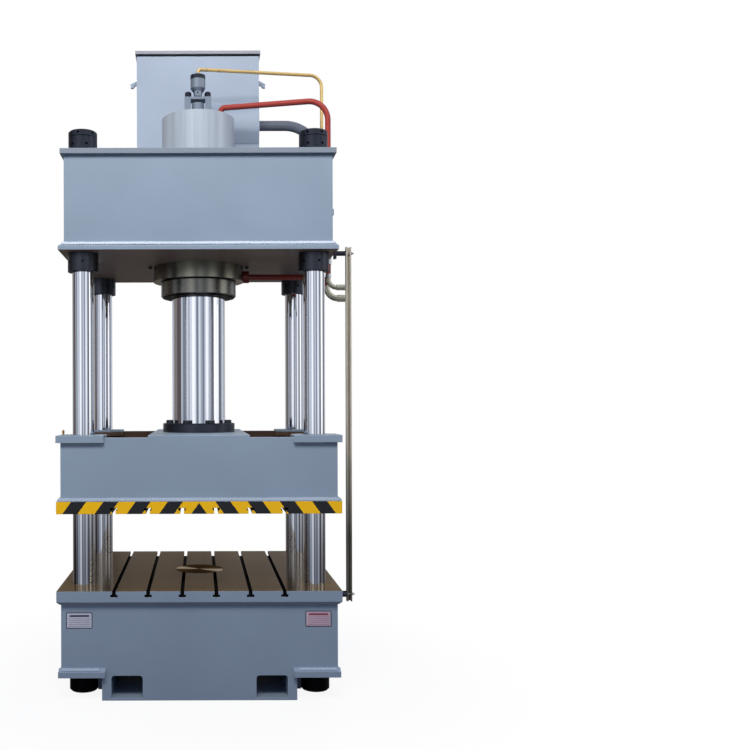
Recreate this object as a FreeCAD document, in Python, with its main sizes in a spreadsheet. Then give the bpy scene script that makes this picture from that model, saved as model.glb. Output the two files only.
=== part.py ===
# Four-column hydraulic press: bed with T-slotted table, guided slide, crown with the
# main cylinder, prefill valve and oil tank.  Millimetres; +Z up, front is -Y, origin on
# the floor at the middle of the column grid.
import FreeCAD, Part
import Sketcher
import math
import os
import re

DIMS = {
    # columns and their nuts
    "column_in_x": 114, "column_in_y": 130, "column_dia": 105, "column_low": 28,
    "eye_dia": 26, "eye_deep": 50, "column_under": 7, "thread_gap": 0.1, "body_gap": 0.5,
    "nut_wall": 16.5, "collar_wall": 21, "bed_nut_low": 24,
    "collar_h": 90, "top_nut_h": 78, "lock_ring_h": 30, "bar_hole": 12, "bar_hole_deep": 16,
    "nut_edge": 8, "ring_edge": 6, "seam_edge": 2,
    # table and bed
    "table_w": 1340, "table_d": 1150, "table_high": 520, "table_thick": 65, "table_edge": 14,
    "slot_pitch": 160, "slot_neck": 18, "slot_tee": 34, "slot_neck_h": 16, "slot_tee_h": 12,
    "bed_in_x": 18, "bed_in_y": 28, "wall": 30, "rib": 25, "weld": 12,
    "skirt_in": 96, "foot_side_in": 113, "foot_side_out": 107,
    "foot_low": 114, "foot_thick": 28, "fork_edge": 44, "fork_w": 148, "fork_low": 11,
    "fork_high": 117, "fork_r": 15, "fork_wall": 8, "tube_wall": 30, "bed_rib_in": 43,
    "bed_rib_y": 200, "lock_w": 40,
    # slide
    "slide_low": 882, "slide_plate_h": 58, "slide_in_x": 18, "slide_in_y": 20,
    "slide_web_h": 299, "slide_weld": 15, "pad_w": 225, "pad_d": 235, "pad_h": 34,
    "pad_over": 2, "pad_cut": 62, "pad_rise": 10, "core_in": 50,
    "slide_rib_y": 190, "slide_rib_h": 170, "hub_wall": 45, "hub_bore": 250,
    "bush_wall": 10, "bush_h": 152, "run_gap": 0.05, "wiper_h": 8,
    "nipple_in": 18, "nipple_dia": 14, "nipple_h": 24,
    # ram, piston and main cylinder
    "ram_dia": 280, "ram_under": 65, "ram_flange_out": 50, "ram_flange_h": 47,
    "flange_pcd_out": 25, "flange_screw": 24, "flange_head": 38, "flange_head_h": 16,
    "annulus": 10, "piston_h": 90, "seal_h": 10, "seal_deep": 7,
    "cyl_wall": 42.5, "head_h": 307, "head_thick": 70, "shoulder_out": 46,
    "shoulder_h": 79, "gland_h": 85, "gland_lip": 32, "sleeve_over": 8,
    "gland_pcd_out": 22.5, "gland_edge": 26, "gland_screw": 20, "gland_head": 32,
    "gland_head_h": 20, "ring_nut_out": 42.5, "ring_nut_h": 90,
    # crown
    "crown_low": 2122, "crown_h": 477, "crown_in_x": 10, "crown_in_y": 10, "roof_in": 10,
    "crown_plate": 25, "crown_web_in_x": 26, "crown_web_in_y": 20, "crown_edge": 7,
    "crown_rib_x": 255, "crown_tube_wall": 32.5, "crown_sleeve_wall": 19.5,
    "stop_out": 16.5, "stop_y": 37, "stop_dia": 10, "stop_head": 18, "stop_head_h": 12,
    # prefill valve and its pilot cylinder
    "port_dia": 70, "seat_dia": 110, "seat_in": 40, "poppet_dia": 92, "poppet_h": 14,
    "stem_dia": 16, "yoke_w": 142, "yoke_d": 70, "yoke_base": 20, "yoke_post": 32,
    "yoke_h": 116, "bridge_h": 13, "dome_dia": 63, "dome_under": 26, "dome_bore": 40, "dome_cap": 18, "dome_edge": 4,
    "yoke_bolt_x": 52, "yoke_head": 34, "yoke_head_h": 34, "head_edge": 5, "yoke_bolt": 14,
    "neck_dia": 46, "neck_h": 34, "pilot_dia": 80, "cone_h": 17, "cone_in": 13.5,
    "neck_foot": 9, "neck_foot_h": 8, "boss_w": 30, "boss_over": 5, "vent_dia": 10, "vent_up": 22,
    "pilot_h": 48, "pilot_bore": 50, "pilot_floor_h": 12, "cap_h": 22,
    "pilot_piston_up": 30, "pilot_piston_h": 16,
    # oil tank
    "tank_w": 684, "tank_gap": 10, "tank_d": 300, "tank_h": 744, "tank_sheet": 6,
    "gasket_h": 12, "lid_h": 18, "lid_over": 8, "duct_up": 252, "duct_h": 235,
    "duct_bulge": 30, "duct_left": 60, "neck_pipe": 44, "neck_up": 43,
    "hook_down": 81, "hook_out": 45, "hook_thick": 14,
    # pipes
    "pilot_pipe": 18, "pilot_gap": 19, "pilot_rise": 35, "pilot_drop": 88,
    "red_pipe": 30, "red_x": 120, "red_y": 54, "red_rise": 84, "red_drop": 43,
    "union_h": 38, "coupling_h": 50, "tail_nut_h": 23,
    "out_gap": 21, "out_y": 70, "out_drop": 48, "out_tube": 24, "out_bend": 45,
    "low_pipe": 29, "low_down": 49, "low_gap": 26, "low_bend": 40,
    "low_y": 30, "low_drop": 112, "low_tube": 32, "low_out_bend": 60,
    "out_long": 109, "port_flange": 64, "port_flange_h": 30,
    "tank_pipe": 57, "tank_pipe_up": 94, "tank_pipe_gap": 35, "tank_pipe_drop": 58,
    "tank_pipe_bend": 195, "pipe_wall": 4, "thin_wall": 3,
    "clamp_up": 258, "clamp_h": 30, "clamp_side": 20, "clamp_over": 10,
    # limit-switch rail
    "rail_gap": 61, "rail_w": 26, "rail_in_y": 180, "rail_down": 86, "rail_up": 37,
    "rail_sheet": 3, "rail_slot": 10, "spacer_dia": 24, "low_spacer_dia": 30,
    "spacer_up": 7, "spacer_down": 52, "rail_bolt": 8, "rail_bolt_in": 22,
    "rail_bolt_out": 13, "rail_nut": 14, "rail_nut_h": 7,
    "bracket_w": 32, "bracket_thick": 12, "bracket_down": 19, "bracket_up": 16,
    # ejector
    "eject_dia": 255, "eject_under": 35, "eject_rim": 2, "eject_rod_dia": 90,
    "eject_wall": 25, "eject_bore": 140, "eject_low": 70, "eject_base": 26,
    "eject_piston": 60, "eject_flange": 280, "eject_flange_h": 30, "eject_gland": 70,
}

# sizes and places that follow the driving dimensions
LINKS = {
    # the column grid and what stands on it follow the table
    "column_x": "table_w / 2 - column_in_x", "column_y": "table_d / 2 - column_in_y",
    "nut_dia": "column_dia + 2 * nut_wall", "collar_dia": "column_dia + 2 * collar_wall",
    "bed_web_w": "table_w - 2 * bed_in_x", "bed_web_d": "table_d - 2 * bed_in_y",
    "skirt_w": "2 * (column_x - skirt_in)", "foot_in": "column_x - foot_side_in",
    "foot_out": "column_x + foot_side_out",
    "fork_out": "skirt_w / 2 - fork_edge", "fork_in": "fork_out - fork_w",
    "bed_rib_x": "fork_in - bed_rib_in", "tube_dia": "column_dia + 2 * tube_wall",
    "slide_web_w": "table_w - 2 * slide_in_x", "slide_web_d": "table_d - 2 * slide_in_y",
    "pad_out_x": "table_w / 2 + pad_over", "bush_dia": "column_dia + 2 * bush_wall",
    "crown_w": "table_w - 2 * crown_in_x", "crown_d": "table_d - 2 * crown_in_y",
    "crown_web_w": "crown_w - 2 * crown_web_in_x",
    "crown_web_d": "crown_d - 2 * crown_web_in_y",
    "crown_sleeve": "column_dia + 2 * crown_sleeve_wall",
    # the cylinder, its gland and the flanges follow the ram
    "bore_dia": "ram_dia + 2 * annulus", "cyl_dia": "bore_dia + 2 * cyl_wall",
    "shoulder_dia": "cyl_dia + 2 * shoulder_out", "gland_pcd": "bore_dia + 2 * gland_pcd_out",
    "gland_dia": "gland_pcd + 2 * gland_edge", "ring_nut_dia": "cyl_dia + 2 * ring_nut_out",
    "crown_tube": "cyl_dia + 2 * crown_tube_wall",
    "ram_flange_dia": "ram_dia + 2 * ram_flange_out", "flange_pcd": "ram_dia + 2 * flange_pcd_out",
    "core_w": "ram_flange_dia + 2 * core_in", "hub_dia": "hub_bore + 2 * hub_wall",
    # heights, one on the other
    "crown_high": "crown_low + crown_h",
    "column_high": "crown_high + top_nut_h + lock_ring_h - column_under",
    "slide_high": "slide_low + slide_plate_h + slide_web_h + pad_rise",
    "sleeve_high": "crown_low + sleeve_over", "ram_high": "sleeve_high + ram_under",
    "cyl_high": "crown_high + head_h", "bore_high": "cyl_high - head_thick",
    "seat_high": "cyl_high - seat_in", "yoke_high": "cyl_high + yoke_h",
    "dome_high": "yoke_high - dome_under", "neck_high": "yoke_high + neck_h",
    "pilot_cone": "neck_high + cone_h", "pilot_high": "pilot_cone + pilot_h",
    "pilot_floor": "neck_high + pilot_floor_h",
    "pilot_piston_low": "pilot_floor + pilot_piston_up",
    "eject_seat": "table_high - eject_under", "eject_floor": "eject_low + eject_base",
    "eject_cyl": "eject_bore + 2 * eject_wall",
    # tank and ducts
    "tank_front": "ring_nut_dia / 2 + tank_gap", "tank_high": "crown_high + tank_h",
    "duct_low": "crown_high + duct_up", "duct_high": "duct_low + duct_h",
    "neck_pipe_z": "cyl_high + neck_up", "hook_z": "tank_high - hook_down",
    # pipes hang just outside the crown
    "pilot_run": "crown_w / 2 + pilot_gap", "pilot_z": "pilot_high + cap_h + pilot_rise",
    "pilot_end": "crown_low + pilot_drop", "out_x": "crown_w / 2 + out_gap",
    "red_run": "sqrt((out_x - red_x) ^ 2 + (out_y + red_y) ^ 2)",
    "red_z": "cyl_high + red_rise", "red_end": "crown_low + red_drop",
    "union_low": "red_end - union_h", "coupling_low": "union_low - coupling_h",
    "tail_nut_low": "coupling_low - tail_nut_h", "out_z": "tail_nut_low - out_drop",
    "low_x": "crown_w / 2 + low_gap", "low_run": "sqrt(low_x ^ 2 + low_y ^ 2)",
    "low_z": "crown_low - low_down", "low_out_z": "low_z - low_drop",
    "out_face": "out_x + out_long", "tank_pipe_x": "crown_w / 2 + tank_pipe_gap",
    "tank_pipe_y": "tank_front + tank_d / 2", "tank_pipe_z": "cyl_high + tank_pipe_up",
    "tank_pipe_end": "crown_low + tank_pipe_drop", "clamp_low": "crown_low + clamp_up",
    # switch rail
    "rail_x": "table_w / 2 + rail_gap", "rail_y": "table_d / 2 - rail_in_y",
    "rail_low": "table_high - rail_down", "rail_high": "crown_low + rail_up",
    "spacer_z": "crown_low + spacer_up", "low_spacer_z": "table_high - spacer_down",
}

V = FreeCAD.Vector
doc = FreeCAD.newDocument("hydraulic_press")
sheet = doc.addObject("Spreadsheet::Sheet", "Dim")
for row, (alias, value) in enumerate(DIMS.items(), 1):
    sheet.set("A%d" % row, alias)
    sheet.set("B%d" % row, str(value))
    sheet.setAlias("B%d" % row, alias)
doc.recompute()

NODES = []


def ref(text):
    # a formula in plain names becomes an expression that reads the sheet
    def word(found):
        name = found.group()
        if name in LINKS:
            return "(%s)" % ref(LINKS[name])
        return name if name == "sqrt" else "Dim." + name
    return re.sub(r"[a-z_][a-z0-9_]*", word, str(text))


probe = doc.addObject("Part::Vertex", "Probe")


def num(text):
    # the present value of a formula
    probe.setExpression("X", ref(text))
    probe.recompute()
    return probe.X.Value


def bind(obj, **props):
    for prop, text in props.items():
        obj.setExpression(prop.replace("__", "."), ref(text))


def put(obj, x=0, y=0, z=0, rot=None):
    if rot:
        obj.Placement = FreeCAD.Placement(V(0, 0, 0), rot)
    bind(obj, Placement__Base__x=x, Placement__Base__y=y, Placement__Base__z=z)
    return obj


ALONG_X = FreeCAD.Rotation(V(0, 1, 0), 90)
ALONG_Y = FreeCAD.Rotation(V(1, 0, 0), -90)
UPRIGHT = FreeCAD.Rotation(V(1, 0, 0), 90)


def turn(angle):
    return FreeCAD.Rotation(V(0, 0, 1), angle)


def box(name, x0, x1, y0, y1, z0, z1):
    part = doc.addObject("Part::Box", name)
    bind(part, Length="(%s) - (%s)" % (x1, x0), Width="(%s) - (%s)" % (y1, y0),
         Height="(%s) - (%s)" % (z1, z0))
    return put(part, x0, y0, z0)


def rod(name, dia, z0, z1, x=0, y=0):
    part = doc.addObject("Part::Cylinder", name)
    bind(part, Radius="(%s) / 2" % dia, Height="(%s) - (%s)" % (z1, z0))
    return put(part, x, y, z0)


def rod_x(name, dia, x0, x1, y=0, z=0):
    part = doc.addObject("Part::Cylinder", name)
    bind(part, Radius="(%s) / 2" % dia, Height="(%s) - (%s)" % (x1, x0))
    return put(part, x0, y, z, ALONG_X)


def rod_y(name, dia, y0, y1, x=0, z=0):
    part = doc.addObject("Part::Cylinder", name)
    bind(part, Radius="(%s) / 2" % dia, Height="(%s) - (%s)" % (y1, y0))
    return put(part, x, y0, z, ALONG_Y)


def cone(name, low_dia, high_dia, z0, z1, x=0, y=0):
    part = doc.addObject("Part::Cone", name)
    bind(part, Radius1="(%s) / 2" % low_dia, Radius2="(%s) / 2" % high_dia,
         Height="(%s) - (%s)" % (z1, z0))
    return put(part, x, y, z0)


def taper(name, half_x0, half_y0, z0, half_x1, half_y1, z1):
    # four-sided block about the Z axis, one size at z0 and another at z1
    part = doc.addObject("Part::Wedge", name)
    bind(part, Xmin="-(%s)" % half_x0, Xmax=half_x0, Zmin="-(%s)" % half_y0, Zmax=half_y0,
         X2min="-(%s)" % half_x1, X2max=half_x1, Z2min="-(%s)" % half_y1, Z2max=half_y1)
    bind(part, Ymin=z0, Ymax=z1)
    part.Placement = FreeCAD.Placement(V(0, 0, 0), UPRIGHT)
    return part


def fuse(name, parts):
    part = doc.addObject("Part::MultiFuse", name)
    part.Shapes = parts
    part.Refine = True
    return part


def cut(name, base, tools):
    part = doc.addObject("Part::Cut", name)
    part.Base = base
    part.Tool = tools[0] if len(tools) == 1 else fuse(name + "_tools", tools)
    part.Refine = True
    return part


def group(name, parts):
    part = doc.addObject("Part::Compound", name)
    part.Links = parts
    return part


def node(label, part):
    part.Label = label
    NODES.append(part)
    return part


def outline(sketch, points):
    # closed polygon whose every corner is held by two sheet-driven distances
    count = len(points)
    spots = [V(num(x), num(y), 0) for x, y in points]
    for i in range(count):
        sketch.addGeometry(Part.LineSegment(spots[i], spots[(i + 1) % count]), False)
    for i in range(count):
        sketch.addConstraint(Sketcher.Constraint("Coincident", i, 2, (i + 1) % count, 1))
    for i, (x, y) in enumerate(points):
        hold(sketch, i, 1, x, y)


def pin(sketch, kind, geo, spot, text):
    # one distance of a sketch point from the sketch origin, driven by the sheet
    value = num(text)
    if abs(value) < 1e-9:
        axis = -2 if kind == "DistanceX" else -1
        sketch.addConstraint(Sketcher.Constraint("PointOnObject", geo, spot, axis))
        return
    index = sketch.addConstraint(Sketcher.Constraint(kind, -1, 1, geo, spot, value))
    sketch.setExpression("Constraints[%d]" % index, ref(text))


def hold(sketch, geo, spot, x, y):
    pin(sketch, "DistanceX", geo, spot, x)
    pin(sketch, "DistanceY", geo, spot, y)


def extrude(name, points, length, rot=None, x=0, y=0, z=0):
    # flat polygon pushed out along its own normal
    sketch = doc.addObject("Sketcher::SketchObject", name + "_outline")
    outline(sketch, points)
    put(sketch, x, y, z, rot)
    part = doc.addObject("Part::Extrusion", name)
    part.Base = sketch
    part.DirMode = "Normal"
    part.Solid = True
    bind(part, LengthFwd=length)
    return part


def plane_of(body, role):
    return [f for f in body.Origin.OriginFeatures if f.Role == role][0]


def body_sketch(body, name, role):
    sketch = body.newObject("Sketcher::SketchObject", name)
    sketch.AttachmentSupport = (plane_of(body, role), [""])
    sketch.MapMode = "FlatFace"
    return sketch


def turned(name, points):
    # body of revolution about Z from an outline of (radius, height) corners
    body = doc.addObject("PartDesign::Body", name)
    sketch = body_sketch(body, name + "_outline", "XZ_Plane")
    outline(sketch, points)
    spin = body.newObject("PartDesign::Revolution", name + "_spin")
    spin.Profile = sketch
    spin.ReferenceAxis = (sketch, ["V_Axis"])
    spin.Angle = 360
    body.Tip = spin
    return body


def bent_path(name, legs):
    # flat path of legs in the XZ plane; each entry is a line or a quarter bend as
    # ("line", x0, z0, x1, z1) or ("bend", centre_x, centre_z, radius, start, end)
    body = doc.addObject("PartDesign::Body", name)
    spine = body_sketch(body, name + "_path", "XZ_Plane")
    for leg in legs:
        if leg[0] == "line":
            a, b = V(num(leg[1]), num(leg[2]), 0), V(num(leg[3]), num(leg[4]), 0)
            geo = spine.addGeometry(Part.LineSegment(a, b), False)
            hold(spine, geo, 1, leg[1], leg[2])
            hold(spine, geo, 2, leg[3], leg[4])
        else:
            centre = V(num(leg[1]), num(leg[2]), 0)
            circle = Part.Circle(centre, V(0, 0, 1), num(leg[3]))
            ends = [math.radians(leg[4]), math.radians(leg[5])]
            geo = spine.addGeometry(Part.ArcOfCircle(circle, *ends), False)
            hold(spine, geo, 3, leg[1], leg[2])
            for spot, angle in ((1, leg[4]), (2, leg[5])):
                dx, dz = round(math.cos(math.radians(angle))), round(math.sin(math.radians(angle)))
                index = 0 if dx else 1
                kinds = ("DistanceX", "DistanceY")
                level = leg[2 - index]
                pin(spine, kinds[1 - index], geo, spot, level)
                if spot == 1:
                    reach = leg[1 + index] + " + (%d) * (%s)" % ((dx, dz)[index], leg[3])
                    pin(spine, kinds[index], geo, spot, reach)
    return body, spine


def tube_along(name, dia, bore, legs, flat, start_x, start_z):
    # sweeps the ring section along the path; flat says whether it starts along X
    body, spine = bent_path(name, legs)
    ring = body_sketch(body, name + "_ring", "YZ_Plane" if flat else "XY_Plane")
    for size in (dia, bore):
        geo = ring.addGeometry(Part.Circle(V(0, 0, 0), V(0, 0, 1), num(size) / 2), False)
        if flat:
            hold(ring, geo, 3, 0, start_z)
        else:
            hold(ring, geo, 3, start_x, 0)
        index = ring.addConstraint(Sketcher.Constraint("Radius", geo, num(size) / 2))
        ring.setExpression("Constraints[%d]" % index, ref("(%s) / 2" % size))
    offset = start_x if flat else start_z
    ring.setExpression("AttachmentOffset.Base.z", ref(offset))
    sweep = body.newObject("PartDesign::AdditivePipe", name + "_sweep")
    sweep.Profile = ring
    sweep.Spine = spine
    body.Tip = sweep
    return body


def corners():
    # the four column places as a tag and the two signs
    for tag_y, sy in (("front", -1), ("rear", 1)):
        for tag_x, sx in (("left", -1), ("right", 1)):
            yield "%s_%s" % (tag_y, tag_x), sx, sy


def at_column(sx, sy):
    return "%d * column_x" % sx, "%d * column_y" % sy


def ring_at(name, outer, inner, z0, z1, x=0, y=0):
    solid = rod(name + "_solid", outer, z0, z1, x, y)
    hole = rod(name + "_hole", inner, "(%s) - 1" % z0, "(%s) + 1" % z1, x, y)
    return cut(name, solid, [hole])


def bar_holes(name, outer, z, x, y, first):
    # six radial blind holes for the tightening bar
    holes = []
    for k in range(6):
        angle = first - 90 + 60 * k
        c, s = math.cos(math.radians(angle)), math.sin(math.radians(angle))
        hole = doc.addObject("Part::Cylinder", "%s_%d" % (name, k))
        bind(hole, Radius="bar_hole / 2", Height="bar_hole_deep + 5")
        reach = "((%s) / 2 - bar_hole_deep)" % outer
        put(hole, "%s + (%.5f) * %s" % (x, c, reach), "%s + (%.5f) * %s" % (y, s, reach), z,
            turn(angle).multiply(ALONG_X))
        holes.append(hole)
    return holes


def column_nuts(label, outer, z0, z1, phases, low_edge=None, high_edge=None):
    nuts = []
    for tag, sx, sy in corners():
        x, y = at_column(sx, sy)
        name = "%s_%s" % (label, tag)
        bottom, top = z0, z1
        blank = []
        if low_edge:
            bottom = "%s + %s" % (z0, low_edge)
            blank.append(cone(name + "_low_edge", "%s - 2 * %s" % (outer, low_edge), outer, z0,
                              bottom, x, y))
        if high_edge:
            top = "%s - %s" % (z1, high_edge)
            blank.append(cone(name + "_high_edge", outer, "%s - 2 * %s" % (outer, high_edge), top,
                              z1, x, y))
        blank.append(rod(name + "_blank", outer, bottom, top, x, y))
        solid = fuse(name + "_full", blank) if len(blank) > 1 else blank[0]
        bore = rod(name + "_bore", "column_dia + 2 * thread_gap", "(%s) - 1" % z0,
                   "(%s) + 1" % z1, x, y)
        holes = []
        if phases:
            middle = "((%s) + (%s)) / 2" % (z0, z1)
            holes = bar_holes(name + "_bar", outer, middle, x, y, phases[(sx > 0)])
        nuts.append(cut(name, solid, [bore] + holes))
    node(label, group(label, nuts))


def column_bores(name, dia, z0, z1):
    return [rod("%s_%s" % (name, tag), dia, z0, z1, *at_column(sx, sy))
            for tag, sx, sy in corners()]


def make_columns():
    for tag, sx, sy in corners():
        x, y = at_column(sx, sy)
        name = "column_" + tag
        shaft = fuse(name + "_shaft", [
            cone(name + "_foot", "column_dia - 6", "column_dia", "column_low", "column_low + 3", x, y),
            rod(name + "_bar", "column_dia", "column_low + 3", "column_high - 3", x, y),
            cone(name + "_head", "column_dia", "column_dia - 6", "column_high - 3", "column_high", x, y)])
        eye = rod(name + "_eye", "eye_dia", "column_high - eye_deep", "column_high + 1", x, y)
        node(name, cut(name, shaft, [eye]))
    column_nuts("bed_nuts", "nut_dia", "bed_nut_low", "foot_low", None, "nut_edge")
    column_nuts("crown_lower_nuts", "collar_dia", "crown_low - collar_h", "crown_low", (5, 14),
                "seam_edge")
    column_nuts("crown_upper_nuts", "nut_dia", "crown_high", "crown_high + top_nut_h", (22, -28),
                None, "seam_edge")
    column_nuts("crown_lock_rings", "nut_dia", "crown_high + top_nut_h",
                "crown_high + top_nut_h + lock_ring_h", (-12, -30), "seam_edge", "ring_edge")


def slotted_plate(label, low, thick, up, extra):
    # slotted plate: pad, one T-slot, then the row of slots; up is 1 for slots in the top
    body = doc.addObject("PartDesign::Body", label + "_body")
    face = body_sketch(body, label + "_face", "XY_Plane")
    outline(face, [("-table_w / 2", "-table_d / 2"), ("table_w / 2", "-table_d / 2"),
                   ("table_w / 2", "table_d / 2"), ("-table_w / 2", "table_d / 2")])
    face.setExpression("AttachmentOffset.Base.z", ref(low))
    pad = body.newObject("PartDesign::Pad", label + "_pad")
    pad.Profile = face
    bind(pad, Length=thick)
    tee = body_sketch(body, label + "_tee", "XZ_Plane")
    top = "(%s) + (%s)" % (low, thick) if up > 0 else low
    step, deep = "(%d) * slot_neck_h" % -up, "(%d) * (slot_neck_h + slot_tee_h)" % -up
    first = "-2.5 * slot_pitch"
    side = [("slot_neck / 2", "0"), ("slot_neck / 2", step), ("slot_tee / 2", step),
            ("slot_tee / 2", deep)]
    points = [("%s + %s" % (first, x), "%s + %s" % (top, z)) for x, z in side]
    points += [("%s - %s" % (first, x), "%s + %s" % (top, z)) for x, z in reversed(side)]
    outline(tee, points)
    slot = body.newObject("PartDesign::Pocket", label + "_slot")
    slot.Profile = tee
    slot.Type = "ThroughAll"
    slot.Midplane = True
    row = body.newObject("PartDesign::LinearPattern", label + "_slots")
    row.Originals = [slot]
    row.Direction = (tee, ["H_Axis"])
    bind(row, Length="5 * slot_pitch")
    row.Occurrences = 6
    body.Tip = row
    return node(label, cut(label, body, extra))


def make_bed():
    web = box("bed_web", "-bed_web_w / 2", "bed_web_w / 2", "-bed_web_d / 2", "bed_web_d / 2",
              0, "table_high - table_thick")
    hollow = box("bed_hollow", "-bed_web_w / 2 + wall", "bed_web_w / 2 - wall",
                 "-bed_web_d / 2 + wall", "bed_web_d / 2 - wall", -1, "table_high")
    shell = cut("bed_shell", web, [hollow])
    parts = [shell, box("bed_floor", "-skirt_w / 2", "skirt_w / 2", "-bed_web_d / 2 + 1",
                        "bed_web_d / 2 - 1", 0, "fork_low")]
    under = []
    tunnels = []
    for tag, sx in (("left", -1), ("right", 1)):
        def span(a, b):
            return ("-(%s)" % b, "-(%s)" % a) if sx < 0 else (a, b)
        parts.append(box("bed_rib_" + tag, *span("bed_rib_x - rib / 2", "bed_rib_x + rib / 2"),
                         "-bed_web_d / 2 + 1", "bed_web_d / 2 - 1", 0, "table_high - table_thick"))
        parts.append(box("bed_skirt_" + tag, *span("skirt_w / 2 - rib", "skirt_w / 2"),
                         "-bed_web_d / 2 + 1", "bed_web_d / 2 - 1", 0, "table_high - table_thick"))
        parts.append(box("bed_fork_" + tag, *span("fork_in - fork_wall", "fork_out + fork_wall"),
                         "-bed_web_d / 2 + 1", "bed_web_d / 2 - 1", 0, "fork_high + fork_wall"))
        tunnel = box("bed_tunnel_" + tag, *span("fork_in", "fork_out"), "-bed_web_d",
                     "bed_web_d", "fork_low", "fork_high")
        doc.recompute()
        high = [i + 1 for i, e in enumerate(tunnel.Shape.Edges)
                if e.BoundBox.YLength > 100 and e.BoundBox.ZMin > num("fork_high") - 1]
        arch = doc.addObject("Part::Fillet", "bed_arch_" + tag)
        arch.Base = tunnel
        arch.Edges = [(i, num("fork_r"), num("fork_r")) for i in high]
        tunnels.append(arch)
        under.append(box("bed_under_" + tag, *span("skirt_w / 2", "bed_web_w"), "-bed_web_d",
                         "bed_web_d", -1, "foot_low"))
    for sy in (-1, 1):
        y = "%d * bed_rib_y" % sy
        parts.append(box("bed_cross_%d" % (sy + 1), "-bed_web_w / 2 + 1", "bed_web_w / 2 - 1",
                         y + " - rib / 2", y + " + rib / 2", 0, "table_high - table_thick"))
    whole = cut("bed_trim", fuse("bed_weldment", parts), under + tunnels)
    feet = []
    for tag, sx, sy in corners():
        x0, x1 = ("foot_in", "foot_out") if sx > 0 else ("-foot_out", "-foot_in")
        if sy > 0:
            feet.append(box("foot_" + tag, x0, x1, "-table_d / 2", "table_d / 2", "foot_low",
                            "foot_low + foot_thick"))
        bead = extrude("foot_bead_" + tag,
                       [("0", "0"), ("%d * weld" % sy, "0"), ("0", "weld")],
                       "foot_out - foot_in", FreeCAD.Rotation(V(1, 1, 1), 120),
                       x0, "%d * bed_web_d / 2" % sy, "foot_low + foot_thick")
        feet.append(bead)
        feet.append(rod("bed_tube_" + tag, "tube_dia", "foot_low", "table_high - table_thick",
                        *at_column(sx, sy)))
    bores = column_bores("bed_bore", "column_dia + 2 * body_gap", 0, "table_high")
    pit = box("bed_pit", "-eject_flange / 2 - 10", "eject_flange / 2 + 10",
              "-eject_flange / 2 - 10", "eject_flange / 2 + 10", "eject_low - 20", "table_high")
    node("bed_frame", cut("bed_frame", fuse("bed_full", [whole] + feet), bores + [pit]))
    locks = []
    for tag, sx, sy in corners():
        x0, x1 = ("skirt_w / 2", "column_x - nut_dia / 2 - 0.3")
        if sx < 0:
            x0, x1 = "-(%s)" % x1, "-(%s)" % x0
        locks.append(box("nut_lock_" + tag, x0, x1, "%d * column_y - lock_w / 2" % sy,
                         "%d * column_y + lock_w / 2" % sy, "bed_nut_low + 4", "foot_low"))
    node("nut_locks", group("nut_locks", locks))


def make_table():
    low = "table_high - table_thick"
    bores = column_bores("table_bore", "column_dia + 2 * body_gap", low + " - 5", "table_high + 5")
    seat = rod("table_seat", "eject_dia + 4 * run_gap", "eject_seat", "table_high + 5")
    hole = rod("table_rod_hole", "eject_rod_dia + 20", low + " - 5", "eject_seat + 5")
    edge = cut("table_edge", taper("table_edge_out", "table_w", "table_d", low, "table_w",
                                   "table_d", low + " + table_edge"),
               [taper("table_edge_in", "table_w / 2 - table_edge", "table_d / 2 - table_edge",
                      low, "table_w / 2", "table_d / 2", low + " + table_edge")])
    slotted_plate("table_plate", low, "table_thick", 1, bores + [seat, hole, edge])


def make_ejector():
    flange_low = "table_high - table_thick - eject_flange_h"
    barrel = fuse("ejector_barrel", [
        rod("ejector_tube", "eject_cyl", "eject_low", flange_low),
        rod("ejector_flange", "eject_flange", flange_low, "table_high - table_thick")])
    bore = rod("ejector_bore", "eject_bore", "eject_floor", "table_high")
    node("ejector_cylinder", cut("ejector_cylinder", barrel, [bore]))
    top = "table_high - table_thick"
    node("ejector_gland", ring_at("ejector_gland", "eject_bore - 2 * run_gap",
                                  "eject_rod_dia + 2 * run_gap", top + " - eject_gland", top))
    node("ejector_piston", rod("ejector_piston", "eject_bore - 2 * run_gap", "eject_floor",
                               "eject_floor + eject_piston"))
    node("ejector_rod", rod("ejector_rod", "eject_rod_dia", "eject_floor + eject_piston", "eject_seat"))
    node("ejector_head", fuse("ejector_head", [
        rod("ejector_disc", "eject_dia", "eject_seat", "table_high - eject_rim"),
        cone("ejector_rim", "eject_dia", "eject_dia - 2 * eject_rim", "table_high - eject_rim",
             "table_high")]))


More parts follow.
